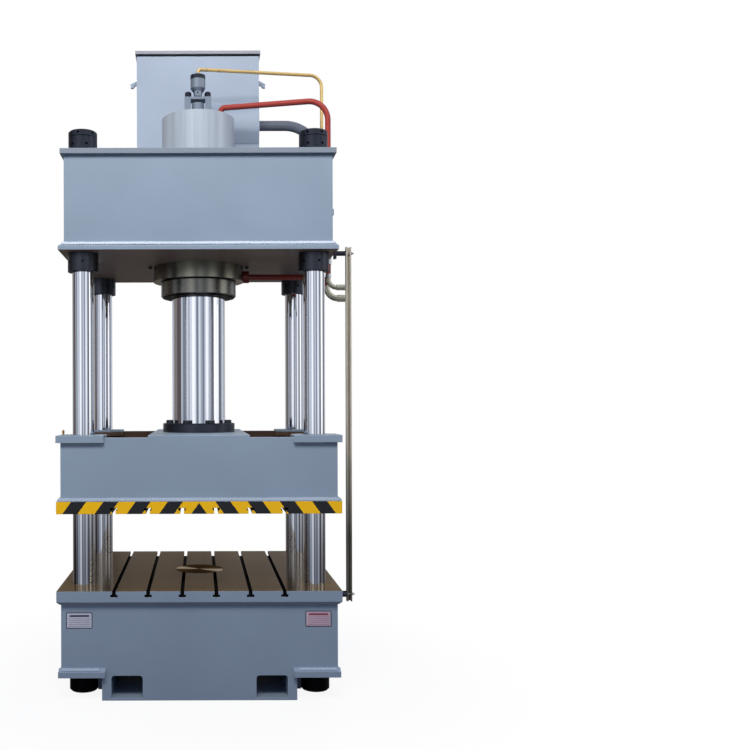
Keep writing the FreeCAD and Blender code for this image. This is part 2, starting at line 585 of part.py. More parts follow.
def make_slide():
    low = "slide_low + slide_plate_h"
    web = box("slide_web", "-slide_web_w / 2", "slide_web_w / 2", "-slide_web_d / 2",
              "slide_web_d / 2", low, low + " + slide_web_h")
    bead = taper("slide_bead", "slide_web_w / 2 + slide_weld", "slide_web_d / 2 + slide_weld", low,
                 "slide_web_w / 2 - 0.5", "slide_web_d / 2 - 0.5", low + " + slide_weld + 0.5")
    hollow = box("slide_hollow", "-slide_web_w / 2 + wall", "slide_web_w / 2 - wall",
                 "-slide_web_d / 2 + wall", "slide_web_d / 2 - wall", low + " - 1", "slide_high + 1")
    parts = [cut("slide_shell", fuse("slide_box", [web, bead]), [hollow])]
    core_low = "slide_high - pad_h"
    parts.append(box("slide_core", "-core_w / 2", "core_w / 2", "-slide_web_d / 2",
                     "slide_web_d / 2", core_low, "slide_high"))
    parts.append(rod("slide_hub", "hub_dia", low, core_low))
    for sx in (-1, 1):
        x = "%d * (core_w / 2 - rib / 2)" % sx
        parts.append(box("slide_rib_%d" % (sx + 1), x + " - rib / 2", x + " + rib / 2",
                         "-slide_web_d / 2 + 1", "slide_web_d / 2 - 1", low, core_low))
        y = "%d * slide_rib_y" % sx
        parts.append(box("slide_cross_%d" % (sx + 1), "-slide_web_w / 2 + 1",
                         "slide_web_w / 2 - 1", y + " - rib / 2", y + " + rib / 2", low,
                         low + " + slide_rib_h"))
    for tag, sx, sy in corners():
        def at(x, y):
            return "%d * (%s)" % (sx, x), "%d * (%s)" % (sy, y)
        edge_x, edge_y = "pad_out_x - pad_w", "table_d / 2 - pad_d"
        points = [at("pad_out_x", "table_d / 2"), at(edge_x, "table_d / 2"),
                  at(edge_x, edge_y + " + pad_cut"), at(edge_x + " + pad_cut", edge_y),
                  at("pad_out_x", edge_y)]
        parts.append(extrude("slide_pad_" + tag, points, "pad_h", None, 0, 0, core_low))
        parts.append(rod("slide_tube_" + tag, "tube_dia", low, core_low, *at_column(sx, sy)))
    holes = column_bores("slide_bore", "bush_dia", low + " - 1", "slide_high + 1")
    holes.append(rod("slide_hub_bore", "hub_bore", low + " - 1", core_low))
    holes += ring_of("slide_tap", "flange_screw + 0.2", "slide_high - 28", "slide_high + 1",
                     "flange_pcd", 8, 22.5)
    node("slide_frame", cut("slide_frame", fuse("slide_weldment", parts), holes))
    bores = column_bores("slide_plate_bore", "bush_dia", "slide_low - 5", low + " + 5")
    slotted_plate("slide_plate", "slide_low", "slide_plate_h", -1, bores)
    spans = (("guide_bushes_lower", "slide_low", "slide_low + bush_h", "run_gap"),
             ("guide_bushes_upper", "slide_high - wiper_h - bush_h", "slide_high - wiper_h",
              "run_gap"),
             ("column_wipers", "slide_high - wiper_h", "slide_high", "2 * run_gap"))
    for label, z0, z1, gap in spans:
        rings = []
        for tag, sx, sy in corners():
            rings.append(ring_at("%s_%s" % (label, tag), "bush_dia", "column_dia + 2 * " + gap,
                                 z0, z1, *at_column(sx, sy)))
        node(label, group(label, rings))
    nipples = []
    for tag, sy in (("front", -1), ("rear", 1)):
        x, y = "-pad_out_x + nipple_in", "%d * column_y" % sy
        nipples.append(fuse("nipple_" + tag, [
            rod("nipple_stem_" + tag, "nipple_dia - 5", "slide_high", "slide_high + 10", x, y),
            cone("nipple_head_" + tag, "nipple_dia", "nipple_dia - 6", "slide_high + 10",
                 "slide_high + nipple_h", x, y)]))
    node("grease_nipples", group("grease_nipples", nipples))


def ring_of(name, dia, z0, z1, pcd, count, first):
    # upright cylinders on a pitch circle
    parts = []
    for k in range(count):
        angle = math.radians(first + 360.0 * k / count)
        parts.append(rod("%s_%d" % (name, k), dia, z0, z1,
                         "(%.5f) * (%s) / 2" % (math.cos(angle), pcd),
                         "(%.5f) * (%s) / 2" % (math.sin(angle), pcd)))
    return parts


def make_ram():
    node("ram", rod("ram", "ram_dia", "slide_high", "ram_high"))
    top = "ram_high + piston_h"
    edge, inner = "bore_dia / 2 - run_gap", "bore_dia / 2 - seal_deep"
    low_seal, high_seal = "ram_high + 22", "ram_high + 58"
    corners_rz = [("0", "ram_high"), (edge, "ram_high")]
    for z in (low_seal, high_seal):
        corners_rz += [(edge, z), (inner, z), (inner, z + " + seal_h"), (edge, z + " + seal_h")]
    corners_rz += [(edge, top), ("0", top)]
    node("piston", turned("piston", corners_rz))
    seals = [ring_at("piston_seal_%d" % k, "bore_dia - run_gap", "bore_dia - 2 * seal_deep", z,
                     z + " + seal_h") for k, z in enumerate((low_seal, high_seal))]
    node("piston_seals", group("piston_seals", seals))
    high = "slide_high + ram_flange_h"
    blank = fuse("ram_flange_blank", [
        rod("ram_flange_disc", "ram_flange_dia", "slide_high", high + " - 3"),
        cone("ram_flange_rim", "ram_flange_dia", "ram_flange_dia - 6", high + " - 3", high)])
    holes = ring_of("ram_flange_hole", "flange_screw + 0.2", "slide_high - 1", high + " + 1",
                    "flange_pcd", 8, 22.5)
    holes.append(rod("ram_flange_bore", "ram_dia + 2 * thread_gap", "slide_high - 1", high + " + 1"))
    node("ram_flange", cut("ram_flange", blank, holes))
    shanks = ring_of("flange_shank", "flange_screw", "slide_high - 26", high, "flange_pcd", 8, 22.5)
    heads = ring_of("flange_head", "flange_head", high, high + " + flange_head_h", "flange_pcd",
                    8, 22.5)
    screws = []
    for k, (shank, head) in enumerate(zip(shanks, heads)):
        angle = math.radians(22.5 + 45 * k)
        key = doc.addObject("Part::Prism", "flange_key_%d" % k)
        key.Polygon = 6
        bind(key, Circumradius="flange_head / 4", Height="flange_head_h")
        put(key, "(%.5f) * flange_pcd / 2" % math.cos(angle),
            "(%.5f) * flange_pcd / 2" % math.sin(angle), high + " + flange_head_h / 2")
        screws.append(cut("ram_flange_screw_%d" % k, fuse("flange_body_%d" % k, [shank, head]),
                          [key]))
    node("ram_flange_screws", group("ram_flange_screws", screws))


def make_cylinder():
    low = "crown_low - shoulder_h"
    barrel = turned("main_cylinder_body", [
        ("bore_dia / 2", low), ("shoulder_dia / 2", low), ("shoulder_dia / 2", "crown_low"),
        ("cyl_dia / 2", "crown_low"), ("cyl_dia / 2", "cyl_high - 3"),
        ("cyl_dia / 2 - 3", "cyl_high"), ("port_dia / 2", "cyl_high"),
        ("port_dia / 2", "seat_high"), ("seat_dia / 2", "seat_high"),
        ("seat_dia / 2", "bore_high"), ("bore_dia / 2", "bore_high")])
    taps = ring_of("gland_tap", "gland_screw + 0.2", low + " - 1", low + " + 32", "gland_pcd", 8, 22.5)
    taps += [rod("yoke_tap_%d" % (s + 1), "yoke_bolt + 0.2", "cyl_high - 30", "cyl_high + 1",
                 "%d * yoke_bolt_x" % s) for s in (-1, 1)]
    taps.append(rod("upper_port", "red_pipe - 2 * pipe_wall", "bore_high - 1", "cyl_high + 1",
                    "red_x", "red_y"))
    node("main_cylinder", cut("main_cylinder", barrel, taps))
    node("cylinder_ring_nut", ring_at("cylinder_ring_nut", "ring_nut_dia",
                                      "cyl_dia + 2 * thread_gap", "crown_high",
                                      "crown_high + ring_nut_h"))
    base, lip, groove = "%s - gland_h" % low, "ram_dia / 2 + body_gap", "ram_dia / 2 + 7"
    shelf = "(%s) + gland_lip" % base
    ring = turned("gland_ring_body", [
        (lip, base), ("gland_dia / 2 - 10", base), ("gland_dia / 2", base + " + 10"),
        ("gland_dia / 2", low), ("bore_dia / 2", low), ("bore_dia / 2", shelf), (lip, shelf),
        (lip, base + " + 20"), (groove, base + " + 20"), (groove, base + " + 8"),
        (lip, base + " + 8")])
    holes = ring_of("gland_hole", "gland_screw + 0.4", base + " - 1", low + " + 1", "gland_pcd",
                    8, 22.5)
    holes += ring_of("gland_sink", "gland_head + 2", base + " - 1", base + " + gland_head_h + 2",
                     "gland_pcd", 8, 22.5)
    node("gland_ring", cut("gland_ring", ring, holes))
    heads = ring_of("gland_head", "gland_head", base + " + 2", base + " + gland_head_h + 2",
                    "gland_pcd", 8, 22.5)
    shanks = ring_of("gland_shank", "gland_screw", base + " + gland_head_h + 2", low + " + 28",
                     "gland_pcd", 8, 22.5)
    node("gland_screws", group("gland_screws", [
        fuse("gland_bolt_%d" % k, pair) for k, pair in enumerate(zip(heads, shanks))]))
    node("guide_sleeve", ring_at("guide_sleeve", "bore_dia - 2 * run_gap",
                                 "ram_dia + 2 * run_gap", shelf, "sleeve_high"))
    node("rod_wiper", ring_at("rod_wiper", "ram_dia + 14 - 2 * run_gap", "ram_dia + 2 * run_gap",
                              base + " + 8", base + " + 20"))


def make_crown():
    high_low = "crown_high - crown_plate"
    low_high = "crown_low + crown_plate"
    web = box("crown_web", "-crown_web_w / 2", "crown_web_w / 2", "-crown_web_d / 2",
              "crown_web_d / 2", low_high + " - 1", high_low + " + 1")
    bead = taper("crown_bead", "crown_web_w / 2 + weld", "crown_web_d / 2 + weld", low_high,
                 "crown_web_w / 2 - 0.5", "crown_web_d / 2 - 0.5", low_high + " + weld + 0.5")
    hollow = box("crown_hollow", "-crown_web_w / 2 + wall", "crown_web_w / 2 - wall",
                 "-crown_web_d / 2 + wall", "crown_web_d / 2 - wall", low_high, high_low)
    half_w, half_d = "crown_w / 2", "crown_d / 2"
    parts = [
        cut("crown_shell", fuse("crown_box", [web, bead]), [hollow]),
        box("crown_roof", "-crown_w / 2 + roof_in", "crown_w / 2 - roof_in", "-" + half_d, half_d,
            high_low, "crown_high"),
        box("crown_floor", "-" + half_w, half_w, "-" + half_d, half_d, "crown_low",
            low_high + " - crown_edge"),
        taper("crown_bevel", half_w, half_d, low_high + " - crown_edge",
              half_w + " - crown_edge", half_d + " - crown_edge", low_high),
        rod("crown_tube", "crown_tube", "crown_low + 1", high_low + " + 1")]
    for sx in (-1, 1):
        x = "%d * crown_rib_x" % sx
        parts.append(box("crown_rib_%d" % (sx + 1), x + " - rib / 2", x + " + rib / 2",
                         "-crown_web_d / 2 + 1", "crown_web_d / 2 - 1", "crown_low + 1",
                         high_low + " + 1"))
    for tag, sx, sy in corners():
        parts.append(rod("crown_sleeve_" + tag, "crown_sleeve", "crown_low + 1", high_low + " + 1",
                         *at_column(sx, sy)))
    holes = column_bores("crown_bore", "column_dia + 2 * body_gap", "crown_low - 1",
                         "crown_high + 1")
    holes.append(rod("crown_cyl_bore", "cyl_dia + 2 * thread_gap", "crown_low - 1",
                     "crown_high + 1"))
    screws = []
    for s in (-1, 1):
        spot = ("%d * (shoulder_dia / 2 + stop_out)" % s, "-stop_y")
        holes.append(rod("stop_tap_%d" % (s + 1), "stop_dia + 0.2", "crown_low - 1",
                         "crown_low + 20", *spot))
        screws.append(fuse("stop_screw_%d" % (s + 1), [
            rod("stop_shank_%d" % (s + 1), "stop_dia", "crown_low", "crown_low + 18", *spot),
            rod("stop_head_%d" % (s + 1), "stop_head", "crown_low - stop_head_h", "crown_low",
                *spot)]))
    node("crown_frame", cut("crown_frame", fuse("crown_weldment", parts), holes))
    node("stop_screws", group("stop_screws", screws))


def make_prefill():
    base = "cyl_high + yoke_base"
    posts = [box("yoke_post_%d" % (s + 1),
                 "yoke_w / 2 - yoke_post" if s > 0 else "-yoke_w / 2",
                 "yoke_w / 2" if s > 0 else "-yoke_w / 2 + yoke_post",
                 "-yoke_d / 2", "yoke_d / 2", base + " - 1", "yoke_high") for s in (-1, 1)]
    whole = fuse("yoke_whole", posts + [
        box("yoke_foot", "-yoke_w / 2", "yoke_w / 2", "-yoke_d / 2 - 5", "yoke_d / 2 + 5",
            "cyl_high", base),
        box("yoke_bridge", "-yoke_w / 2", "yoke_w / 2", "-yoke_d / 2", "yoke_d / 2",
            "yoke_high - bridge_h", "yoke_high")])
    holes = [rod("yoke_bolt_hole_%d" % (s + 1), "yoke_bolt + 0.4", "cyl_high - 1",
                 "yoke_high + 1", "%d * yoke_bolt_x" % s) for s in (-1, 1)]
    holes.append(rod("yoke_throat", "dome_dia + 0.2", "cyl_high - 1", base + " + 1"))
    holes.append(rod("yoke_guide", "stem_dia + 2", base, "yoke_high + 1"))
    node("prefill_yoke", cut("prefill_yoke", whole, holes))
    cap_low = "dome_high - dome_cap"
    dome = fuse("dome_full", [
        rod("dome_wall", "dome_dia", "cyl_high", "dome_high - dome_edge"),
        cone("dome_crest", "dome_dia", "dome_dia - 2 * dome_edge", "dome_high - dome_edge",
             "dome_high")])
    node("prefill_housing", cut("prefill_housing", dome, [
        rod("dome_bore", "dome_bore", "cyl_high - 1", cap_low),
        rod("dome_guide", "stem_dia + 2 * run_gap", cap_low + " - 1", "dome_high + 1"),
        rod_y("dome_inlet", "neck_pipe - 2 * pipe_wall", "0", "dome_dia", 0, "neck_pipe_z")]))
    bolts = [fuse("yoke_screw_%d" % (s + 1), [
        rod("yoke_shank_%d" % (s + 1), "yoke_bolt", "cyl_high - 28", "yoke_high",
            "%d * yoke_bolt_x" % s),
        rod("yoke_head_%d" % (s + 1), "yoke_head", "yoke_high",
            "yoke_high + yoke_head_h - head_edge", "%d * yoke_bolt_x" % s),
        cone("yoke_crest_%d" % (s + 1), "yoke_head", "yoke_head - 2 * head_edge",
             "yoke_high + yoke_head_h - head_edge", "yoke_high + yoke_head_h",
             "%d * yoke_bolt_x" % s)]) for s in (-1, 1)]
    node("prefill_bolts", group("prefill_bolts", bolts))
    pilot = fuse("pilot_full", [
        cone("pilot_base", "neck_dia + 2 * neck_foot", "neck_dia", "yoke_high",
             "yoke_high + neck_foot_h"),
        rod("pilot_neck", "neck_dia", "yoke_high", "neck_high"),
        box("pilot_boss", "-boss_w / 2", "boss_w / 2", "-neck_dia / 2 - boss_over", "0",
            "yoke_high + neck_foot_h", "neck_high"),
        cone("pilot_cone", "pilot_dia - 2 * cone_in", "pilot_dia", "neck_high", "pilot_cone"),
        rod("pilot_wall", "pilot_dia", "pilot_cone", "pilot_high")])
    node("pilot_cylinder", cut("pilot_cylinder", pilot, [
        rod("pilot_bore", "pilot_bore", "pilot_floor", "pilot_high + 1"),
        rod("pilot_guide", "stem_dia + 2 * run_gap", "yoke_high - 1", "pilot_floor + 1"),
        rod_y("pilot_vent", "vent_dia", "-neck_dia / 2 - boss_over - 1",
              "-neck_dia / 2 + boss_over", 0, "yoke_high + vent_up")]))
    node("pilot_cap", ring_at("pilot_cap", "pilot_dia", "12", "pilot_high", "pilot_high + cap_h"))
    node("prefill_poppet", fuse("prefill_poppet", [
        rod("poppet_disc", "poppet_dia", "seat_high - poppet_h", "seat_high"),
        rod("poppet_stem", "stem_dia", "seat_high - 1", "pilot_piston_low + 1"),
        rod("poppet_piston", "pilot_bore - 2 * run_gap", "pilot_piston_low",
            "pilot_piston_low + pilot_piston_h")]))


def make_tank():
    back = "tank_front + tank_d"
    skin = box("tank_skin", "-tank_w / 2", "tank_w / 2", "tank_front", back, "crown_high",
               "tank_high")
    inside = box("tank_inside", "-tank_w / 2 + tank_sheet", "tank_w / 2 - tank_sheet",
                 "tank_front + tank_sheet", back + " - tank_sheet", "crown_high + tank_sheet",
                 "tank_high + 1")
    inlet = rod_y("tank_inlet", "neck_pipe - 2 * pipe_wall", "tank_front - 1",
                  "tank_front + tank_sheet + 1", 0, "neck_pipe_z")
    outlet = rod_x("tank_outlet", "tank_pipe - 2 * pipe_wall", "tank_w / 2 - tank_sheet - 1",
                   "tank_w / 2 + 1", "tank_pipe_y", "tank_pipe_z")
    node("tank_shell", cut("tank_shell", skin, [inside, inlet, outlet]))
    seal = box("gasket_out", "-tank_w / 2 + 3", "tank_w / 2 - 3", "tank_front + 3", back + " - 3",
               "tank_high", "tank_high + gasket_h")
    open_ = box("gasket_in", "-tank_w / 2 + 30", "tank_w / 2 - 30", "tank_front + 30",
                back + " - 30", "tank_high - 1", "tank_high + gasket_h + 1")
    node("tank_gasket", cut("tank_gasket", seal, [open_]))
    lid_low = "tank_high + gasket_h"
    node("tank_lid", box("tank_lid", "-tank_w / 2 - lid_over", "tank_w / 2 + lid_over",
                         "tank_front - lid_over", back + " + lid_over", lid_low,
                         lid_low + " + lid_h"))
    hooks = []
    for s in (-1, 1):
        shape = [(0, 0), (1, -0.49), (1, -1), (0.67, -1), (0.38, -0.64), (0, -0.8)]
        points = [("%d * (tank_w / 2 + (%s) * hook_out)" % (s, x), "hook_z + (%s) * hook_out" % z)
                  for x, z in shape]
        hooks.append(extrude("tank_hook_%d" % (s + 1), points, "hook_thick", UPRIGHT, 0,
                             "tank_front + tank_d / 2 + hook_thick / 2", 0))
    node("tank_hooks", group("tank_hooks", hooks))
    chord = "(duct_high - duct_low) / 2"
    radius = "((%s) * (%s) + duct_bulge * duct_bulge) / (2 * duct_bulge)" % (chord, chord)
    drum = rod_x("duct_drum", "2 * " + radius, "-duct_left", "tank_w / 2",
                 "tank_front - duct_bulge + " + radius, "(duct_high + duct_low) / 2")
    keep = box("duct_keep", "-duct_left - 1", "tank_w / 2 + 1", "tank_front - duct_bulge - 1",
               "tank_front", "duct_low - 1", "duct_high + 1")
    lens = doc.addObject("Part::Common", "duct_lens")
    lens.Base, lens.Tool = drum, keep
    neck = rod_y("duct_neck", "neck_pipe", "dome_dia / 2 - 6", "tank_front", 0, "neck_pipe_z")
    room = rod("duct_room", "dome_dia + 0.1", "cyl_high", "dome_high")
    bore = rod_y("duct_bore", "neck_pipe - 2 * pipe_wall", "0", "tank_front + 1", 0, "neck_pipe_z")
    node("suction_duct", cut("suction_duct", fuse("duct_full", [lens, neck]), [bore, room]))


def make_pipes():
    wall = " - 2 * pipe_wall"
    base = "pilot_high + cap_h"
    pilot = tube_along("pilot_pipe", "pilot_pipe", "pilot_pipe - 2 * thin_wall", [
        ("line", "0", base, "0", "pilot_z - 18"),
        ("bend", "18", "pilot_z - 18", "18", 90, 180),
        ("line", "18", "pilot_z", "pilot_run - 64", "pilot_z"),
        ("bend", "pilot_run - 64", "pilot_z - 64", "64", 0, 90),
        ("line", "pilot_run", "pilot_z - 64", "pilot_run", "pilot_end")], False, "0", base)
    pilot.Placement = FreeCAD.Placement(V(0, 0, 0), turn(8.3))
    node("pilot_pipe", pilot)
    c, s = math.cos(math.radians(8.3)), math.sin(math.radians(8.3))
    x, y = "%.5f * pilot_run" % c, "%.5f * pilot_run" % s
    node("pilot_fittings", group("pilot_fittings", [
        ring_at("pilot_nut_top", "28", "pilot_pipe + 0.2", base, base + " + 15"),
        ring_at("pilot_nut_end", "30", "pilot_pipe + 0.2", "pilot_end", "pilot_end + 34", x, y)]))
    red = tube_along("upper_pipe", "red_pipe", "red_pipe" + wall, [
        ("line", "0", "cyl_high", "0", "red_z - 28"),
        ("bend", "28", "red_z - 28", "28", 90, 180),
        ("line", "28", "red_z", "red_run - 105", "red_z"),
        ("bend", "red_run - 105", "red_z - 105", "105", 0, 90),
        ("line", "red_run", "red_z - 105", "red_run", "red_end")], False, "0", "cyl_high")
    swing = math.degrees(math.atan2(num("-out_y - red_y"), num("out_x - red_x")))
    put(red, "red_x", "red_y", 0, turn(swing))
    node("upper_pipe", red)
    spot = ("out_x", "-out_y")
    bore = "out_tube - 2 * thin_wall"
    node("upper_unions", group("upper_unions", [
        ring_at("upper_union", "34", bore, "union_low", "red_end", *spot),
        ring_at("upper_tail_nut", "30", bore, "tail_nut_low", "coupling_low", *spot)]))
    node("upper_coupling", ring_at("upper_coupling", "27", bore, "coupling_low", "union_low", *spot))
    low = tube_along("lower_pipe_tube", "low_pipe", "low_pipe" + wall, [
        ("line", "shoulder_dia / 2 + 2", "low_z", "low_run - low_bend", "low_z"),
        ("bend", "low_run - low_bend", "low_z - low_bend", "low_bend", 0, 90),
        ("line", "low_run", "low_z - low_bend", "low_run", "low_z - low_bend - 4")],
        True, "shoulder_dia / 2 + 2", "low_z")
    flange = cut("port_flange_ring", rod_x("port_flange", "port_flange", "shoulder_dia / 2 - 2",
                                           "shoulder_dia / 2 + port_flange_h", 0, "low_z"),
                 [rod("port_flange_seat", "shoulder_dia + 0.1", "low_z - port_flange",
                      "low_z + port_flange"),
                  rod_x("port_flange_bore", "low_pipe - 0.5", "0", "shoulder_dia", 0, "low_z")])
    lower = fuse("lower_pipe", [low, flange])
    swing = math.degrees(math.atan2(num("low_y"), num("low_x")))
    lower.Placement = FreeCAD.Placement(V(0, 0, 0), turn(swing))
    node("lower_pipe", lower)
    elbows = []
    sleeves = []
    for tag, x0, y0, z0, z1, tube, bend in (
            ("upper", "out_x", "-out_y", "tail_nut_low", "out_z", "out_tube", "out_bend"),
            ("lower", "low_x", "low_y", "low_z - low_bend - 4", "low_out_z", "low_tube",
             "low_out_bend")):
        elbow = tube_along("elbow_" + tag, tube, tube + " - 2 * thin_wall", [
            ("line", x0, z0, x0, z1 + " + " + bend),
            ("bend", x0 + " + " + bend, z1 + " + " + bend, bend, 180, 270),
            ("line", x0 + " + " + bend, z1, "out_face - 2", z1)], False, x0, z0)
        put(elbow, 0, y0, 0)
        elbows.append(elbow)
        sleeve = rod_x("sleeve_solid_" + tag, tube + " + 6", x0 + " + " + bend + " - 2",
                       "out_face", y0, z1)
        hole = rod_x("sleeve_hole_" + tag, tube + " + 0.2", x0, "out_face + 1", y0, z1)
        sleeves.append(cut("sleeve_" + tag, sleeve, [hole]))
    node("outlet_elbows", group("outlet_elbows", elbows))
    node("outlet_sleeves", group("outlet_sleeves", sleeves))
    grey = tube_along("tank_pipe_tube", "tank_pipe", "tank_pipe" + wall, [
        ("line", "tank_w / 2", "tank_pipe_z", "tank_pipe_x - tank_pipe_bend", "tank_pipe_z"),
        ("bend", "tank_pipe_x - tank_pipe_bend", "tank_pipe_z - tank_pipe_bend",
         "tank_pipe_bend", 0, 90),
        ("line", "tank_pipe_x", "tank_pipe_z - tank_pipe_bend", "tank_pipe_x", "tank_pipe_end")],
        True, "tank_w / 2", "tank_pipe_z")
    put(grey, 0, "tank_pipe_y", 0)
    end = ring_at("tank_pipe_flange", "tank_pipe + 43", "tank_pipe" + wall, "tank_pipe_end - 16",
                  "tank_pipe_end", "tank_pipe_x", "tank_pipe_y")
    node("tank_pipe", fuse("tank_pipe", [grey, end]))
    side = "crown_web_w / 2"
    clamps = []
    for tag, cx, cy, dia in (("red", "out_x", "-out_y", "red_pipe"),
                             ("pilot", x, y, "pilot_pipe"),
                             ("tank", "tank_pipe_x", "tank_pipe_y", "tank_pipe")):
        block = box("clamp_block_" + tag, side, "(%s) + (%s) / 2 + clamp_over" % (cx, dia),
                    "(%s) - clamp_side - (%s) / 2" % (cy, dia),
                    "(%s) + clamp_side + (%s) / 2" % (cy, dia), "clamp_low", "clamp_low + clamp_h")
        hole = rod("clamp_hole_" + tag, dia + " + 0.2", "clamp_low - 1", "clamp_low + clamp_h + 1",
                   cx, cy)
        clamps.append(cut("clamp_" + tag, block, [hole]))
    node("pipe_clamps", group("pipe_clamps", clamps))


def make_rail():
    hx, t, slot = "rail_w / 2", "rail_sheet", "rail_slot / 2"
    inner = "rail_w / 2 - rail_sheet"
    shape = [("-" + hx, hx), (hx, hx), (hx, "-" + hx), (slot, "-" + hx),
             (slot, "-" + hx + " + " + t), (inner, "-" + hx + " + " + t), (inner, inner),
             ("-rail_w / 2 + rail_sheet", inner),
             ("-rail_w / 2 + rail_sheet", "-" + hx + " + " + t),
             ("-" + slot, "-" + hx + " + " + t), ("-" + slot, "-" + hx), ("-" + hx, "-" + hx)]
    points = [("rail_x + (%s)" % x, "-rail_y + (%s)" % y) for x, y in shape]
    channel = extrude("rail_channel", points, "rail_high - rail_low", None, 0, 0, "rail_low")
    holes = [rod_x("rail_hole_%d" % k, "rail_bolt + 0.4", "rail_x - rail_w", "rail_x + rail_w",
                   "-rail_y", z) for k, z in enumerate(("spacer_z", "low_spacer_z"))]
    node("switch_rail", cut("switch_rail", channel, holes))
    left = "rail_x - rail_w / 2"
    node("rail_bracket", box("rail_bracket", "crown_w / 2", "crown_w / 2 + bracket_thick",
                             "-rail_y - bracket_w / 2", "-rail_y + bracket_w / 2",
                             "crown_low - bracket_down", "crown_low + bracket_up"))
    stands = []
    for k, (x0, z, dia) in enumerate((
            ("crown_w / 2 + bracket_thick", "spacer_z", "spacer_dia"),
            ("table_w / 2", "low_spacer_z", "low_spacer_dia"))):
        stands.append(cut("rail_stand_%d" % k, rod_x("stand_bar_%d" % k, dia, x0, left,
                                                     "-rail_y", z),
                          [rod_x("stand_tap_%d" % k, "rail_bolt + 0.2",
                                 left + " - rail_bolt_in - 2", left + " + 1", "-rail_y", z)]))
    node("rail_stands", group("rail_stands", stands))
    right = "rail_x + rail_w / 2"
    bolts = []
    for k, z in enumerate(("spacer_z", "low_spacer_z")):
        bolts.append(fuse("rail_bolt_%d" % k, [
            rod_x("rail_shank_%d" % k, "rail_bolt", left + " - rail_bolt_in",
                  right + " + rail_bolt_out", "-rail_y", z),
            rod_x("rail_nut_%d" % k, "rail_nut", right, right + " + rail_nut_h", "-rail_y", z)]))
    node("rail_bolts", group("rail_bolts", bolts))


make_columns()
make_bed()
make_table()
make_ejector()
make_slide()
make_ram()
make_cylinder()
make_crown()
make_prefill()
make_tank()
make_pipes()
make_rail()
doc.recompute()

for obj in doc.Objects:
    if "Invalid" in obj.State or "Error" in obj.State:
        raise RuntimeError("object failed: %s %s" % (obj.Name, obj.State))
os.makedirs("parts", exist_ok=True)
for part in NODES:
    shape = part.Shape
    if shape.isNull() or not shape.isValid() or not shape.Solids:
        raise RuntimeError("bad shape: " + part.Label)
    shape.exportStep("parts/%s.step" % part.Label)
    print("%-22s solids %2d  litres %9.3f" % (part.Label, len(shape.Solids), shape.Volume / 1e6))
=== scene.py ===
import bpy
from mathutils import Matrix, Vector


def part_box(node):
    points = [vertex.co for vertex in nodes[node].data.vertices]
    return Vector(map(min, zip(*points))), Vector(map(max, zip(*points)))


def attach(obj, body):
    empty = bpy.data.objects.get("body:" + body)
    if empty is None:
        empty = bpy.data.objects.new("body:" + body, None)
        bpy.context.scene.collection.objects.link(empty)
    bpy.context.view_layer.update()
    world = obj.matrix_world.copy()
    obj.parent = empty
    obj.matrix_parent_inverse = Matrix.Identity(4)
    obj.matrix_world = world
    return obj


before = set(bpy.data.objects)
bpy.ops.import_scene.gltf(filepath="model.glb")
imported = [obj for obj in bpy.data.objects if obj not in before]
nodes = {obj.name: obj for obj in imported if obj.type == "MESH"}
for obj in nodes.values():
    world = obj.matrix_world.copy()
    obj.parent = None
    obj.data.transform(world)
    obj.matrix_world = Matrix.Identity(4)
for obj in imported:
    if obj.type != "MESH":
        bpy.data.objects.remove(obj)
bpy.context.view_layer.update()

import math

import bmesh
import bpy
import numpy as np


def corners(name):
    # lowest and highest corner of a node as plain arrays
    low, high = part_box(name)
    return np.array(low), np.array(high)


def toLinear(hexText):
    # sRGB hex to linear light
    rgb = np.array([int(hexText[i:i + 2], 16) for i in (1, 3, 5)]) / 255
    return (*np.where(rgb <= 0.04045, rgb / 12.92, ((rgb + 0.055) / 1.055) ** 2.4), 1.0)


def addNode(tree, kind, inputs={}, stops=None, **settings):
    # adds a node, sets it, fills or links its inputs, and gives a ramp its stops
    node = tree.nodes.new("ShaderNode" + kind)
    for name, value in settings.items():
        setattr(node, name, value)
    for key, value in inputs.items():
        if isinstance(value, bpy.types.NodeSocket):
            tree.links.new(value, node.inputs[key])
        else:
            node.inputs[key].default_value = value
    if stops:
        elements = node.color_ramp.elements
        while len(elements) < len(stops):
            elements.new(0.5)
        for element, (place, colour) in zip(elements, stops):
            element.position = place
            element.color = toLinear(colour) if isinstance(colour, str) else (colour,) * 3 + (1,)
    return node


def newMaterial(name, **shaderValues):
    # a material with one Principled shader; returns it with its tree, shader and coordinates
    material = bpy.data.materials.new(name)
    material.use_nodes = True
    tree = material.node_tree
    shader = tree.nodes["Principled BSDF"]
    for key, value in shaderValues.items():
        shader.inputs[key.replace("_", " ")].default_value = value
    return material, tree, shader, addNode(tree, "TexCoord").outputs["Object"]


def insideBox(tree, coords, low, high):
    # 1 where a point lies inside the box from low to high, else 0
    middle, half = (np.array(low) + high) / 2, (np.array(high) - low) / 2
    away = addNode(tree, "VectorMath", {0: coords, 1: middle}, operation="SUBTRACT")
    flat = addNode(tree, "VectorMath", {0: away.outputs[0]}, operation="ABSOLUTE")
    spare = addNode(tree, "VectorMath", {0: half, 1: flat.outputs[0]}, operation="SUBTRACT")
    axes = addNode(tree, "SeparateXYZ", {0: spare.outputs[0]}).outputs
    least = addNode(tree, "Math", {0: axes[0], 1: axes[1]}, operation="MINIMUM").outputs[0]
    least = addNode(tree, "Math", {0: least, 1: axes[2]}, operation="MINIMUM").outputs[0]
    return addNode(tree, "Math", {0: least, 1: 0.0}, operation="GREATER_THAN").outputs[0]


